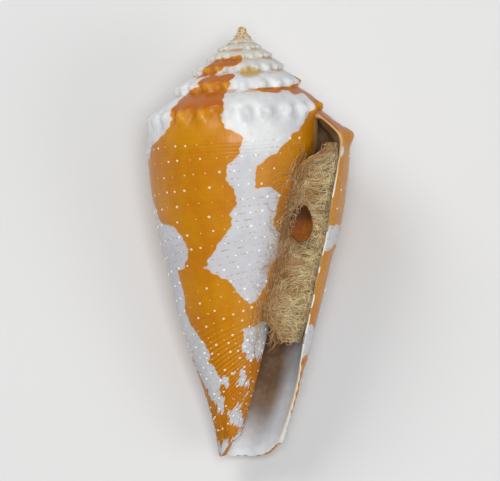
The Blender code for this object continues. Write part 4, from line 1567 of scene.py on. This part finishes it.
@dataclass(frozen=True)
class HornFinish(Finish):
    """Amber horn with growth rings, darker at its top end."""

    def make(self) -> bpy.types.Material:
        """Builds the material."""
        material, net, shader = self.start("amber_horn", 0.5)
        shader.inputs["Specular IOR Level"].default_value = 0.15
        share, end = net.value("share"), net.value("end")
        tone = self.tones(net, (142, 78, 4), (104, 50, 2), 420.0, 0.8)
        rings = net.math("SINE", net.times(share, 60.0))
        tone = net.mix(net.step(rings, 0.2, 0.9, 0.0, 0.3), tone, linear(96, 46, 8))
        tone = net.mix(net.step(end, -0.3, 0.5, 0.0, 0.9), tone, linear(62, 30, 8))
        net.feed(shader.inputs["Base Color"], tone)
        net.bump(shader, self.grained(net, 1800.0, 0.3), 0.6, 0.0005)
        return material


@dataclass
class Studio:
    """The pale floor, the soft lights and the camera, which looks square on to the mouth."""

    placement: Placement
    shown_width: float = 0.0695
    lens: float = 400.0
    sensor: float = 36.0
    aim: tuple[float, float, float] = (0.0, 0.0, 0.012)
    floor_reach: float = 1.5

    def floor(self) -> None:
        """A large pale sheet under the shell."""
        data = bpy.data.meshes.new("table_top")
        far = self.floor_reach
        corners = [(-far, -far, 0.0), (far, -far, 0.0), (far, far, 0.0), (-far, far, 0.0)]
        data.from_pydata(corners, [], [(0, 1, 2, 3)])
        made = linked("table_top", data)
        material = bpy.data.materials.new("table_paint")
        material.use_nodes = True
        shader = material.node_tree.nodes["Principled BSDF"]
        shader.inputs["Base Color"].default_value = (0.68, 0.68, 0.68, 1.0)
        shader.inputs["Roughness"].default_value = 0.85
        data.materials.append(material)
        made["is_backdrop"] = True

    def light(self, name: str, place: tuple[float, float, float], size: float, power: float,
              colour: tuple[float, float, float] = (1.0, 1.0, 1.0)) -> None:
        """A square soft light aimed at the shell."""
        data = bpy.data.lights.new(name, "AREA")
        data.size, data.energy, data.color = size, power, colour
        made = linked(name, data)
        made.location = place
        made.rotation_euler = (Vector(self.aim) - made.location).to_track_quat("-Z", "Y").to_euler()

    def lights(self) -> None:
        """Key light from the top left, a weak fill from the right and an even surround."""
        self.light("key_light", (-0.22, 0.26, 0.36), 0.26, 1.1, (1.0, 0.985, 0.96))
        self.light("fill_light", (0.34, -0.16, 0.30), 0.30, 0.65, (1.0, 0.99, 0.97))
        self.light("top_light", (0.036, -0.09, 0.9), 0.29, 4.2)
        world = bpy.data.worlds.new("surround")
        world.use_nodes = True
        world.node_tree.nodes["Background"].inputs["Color"].default_value = (0.92, 0.96, 1.0, 1.0)
        world.node_tree.nodes["Background"].inputs["Strength"].default_value = 0.2
        bpy.context.scene.world = world

    def camera(self) -> None:
        """A long lens square to the shell's axis, with the apex at the top of the picture."""
        low, high = CAD_BOX
        middle = 0.5 * (np.array(low) + np.array(high))
        data = bpy.data.cameras.new("camera")
        data.lens, data.sensor_width = self.lens, self.sensor
        made = linked("camera", data)
        turn = Matrix(self.placement.turn.tolist())
        right, up, back = turn @ Vector((1, 0, 0)), turn @ Vector((0, 0, 1)), turn @ Vector((0, -1, 0))
        away = self.shown_width * self.lens / self.sensor
        facing = Matrix((right, up, back)).transposed()
        made.matrix_world = Matrix.Translation(Vector(middle) + back * away) @ facing.to_4x4()
        bpy.context.scene.camera = made

    def build(self) -> None:
        """Sets up floor, lights and camera."""
        self.camera()
        self.floor()
        self.lights()
        bpy.context.scene.view_settings.view_transform = "Standard"


def dress(made: bpy.types.Object, material: bpy.types.Material, node: str) -> None:
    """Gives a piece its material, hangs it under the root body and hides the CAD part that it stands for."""
    made.data.materials.append(material)
    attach(made, "root")
    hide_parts(node)


def main() -> None:
    """Builds the studio, the shell, the cotton wad and the operculum."""
    logging.basicConfig(level=logging.INFO, format="%(name)s: %(message)s")
    placement = Placement()
    growth = Growth()
    Studio(placement).build()
    mottle, grain = mottle_group(), grain_group()
    shell = ShellBody(growth, Markings(growth, PATCHES), placement).build()
    dress(shell, ShellFinish(mottle, grain).make(), "shell")
    cotton = CottonFinish(mottle, grain).make()
    for piece in CottonWad(growth, placement).build():
        dress(piece, cotton, "cotton_wad")
    plate = Operculum(placement).build()
    dress(plate, HornFinish(mottle, grain).make(), "operculum")
    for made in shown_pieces():
        if made.type == "MESH":
            LOG.info("piece %s: %d points", made.name, len(made.data.vertices))


if __name__ == "__main__":
    main()
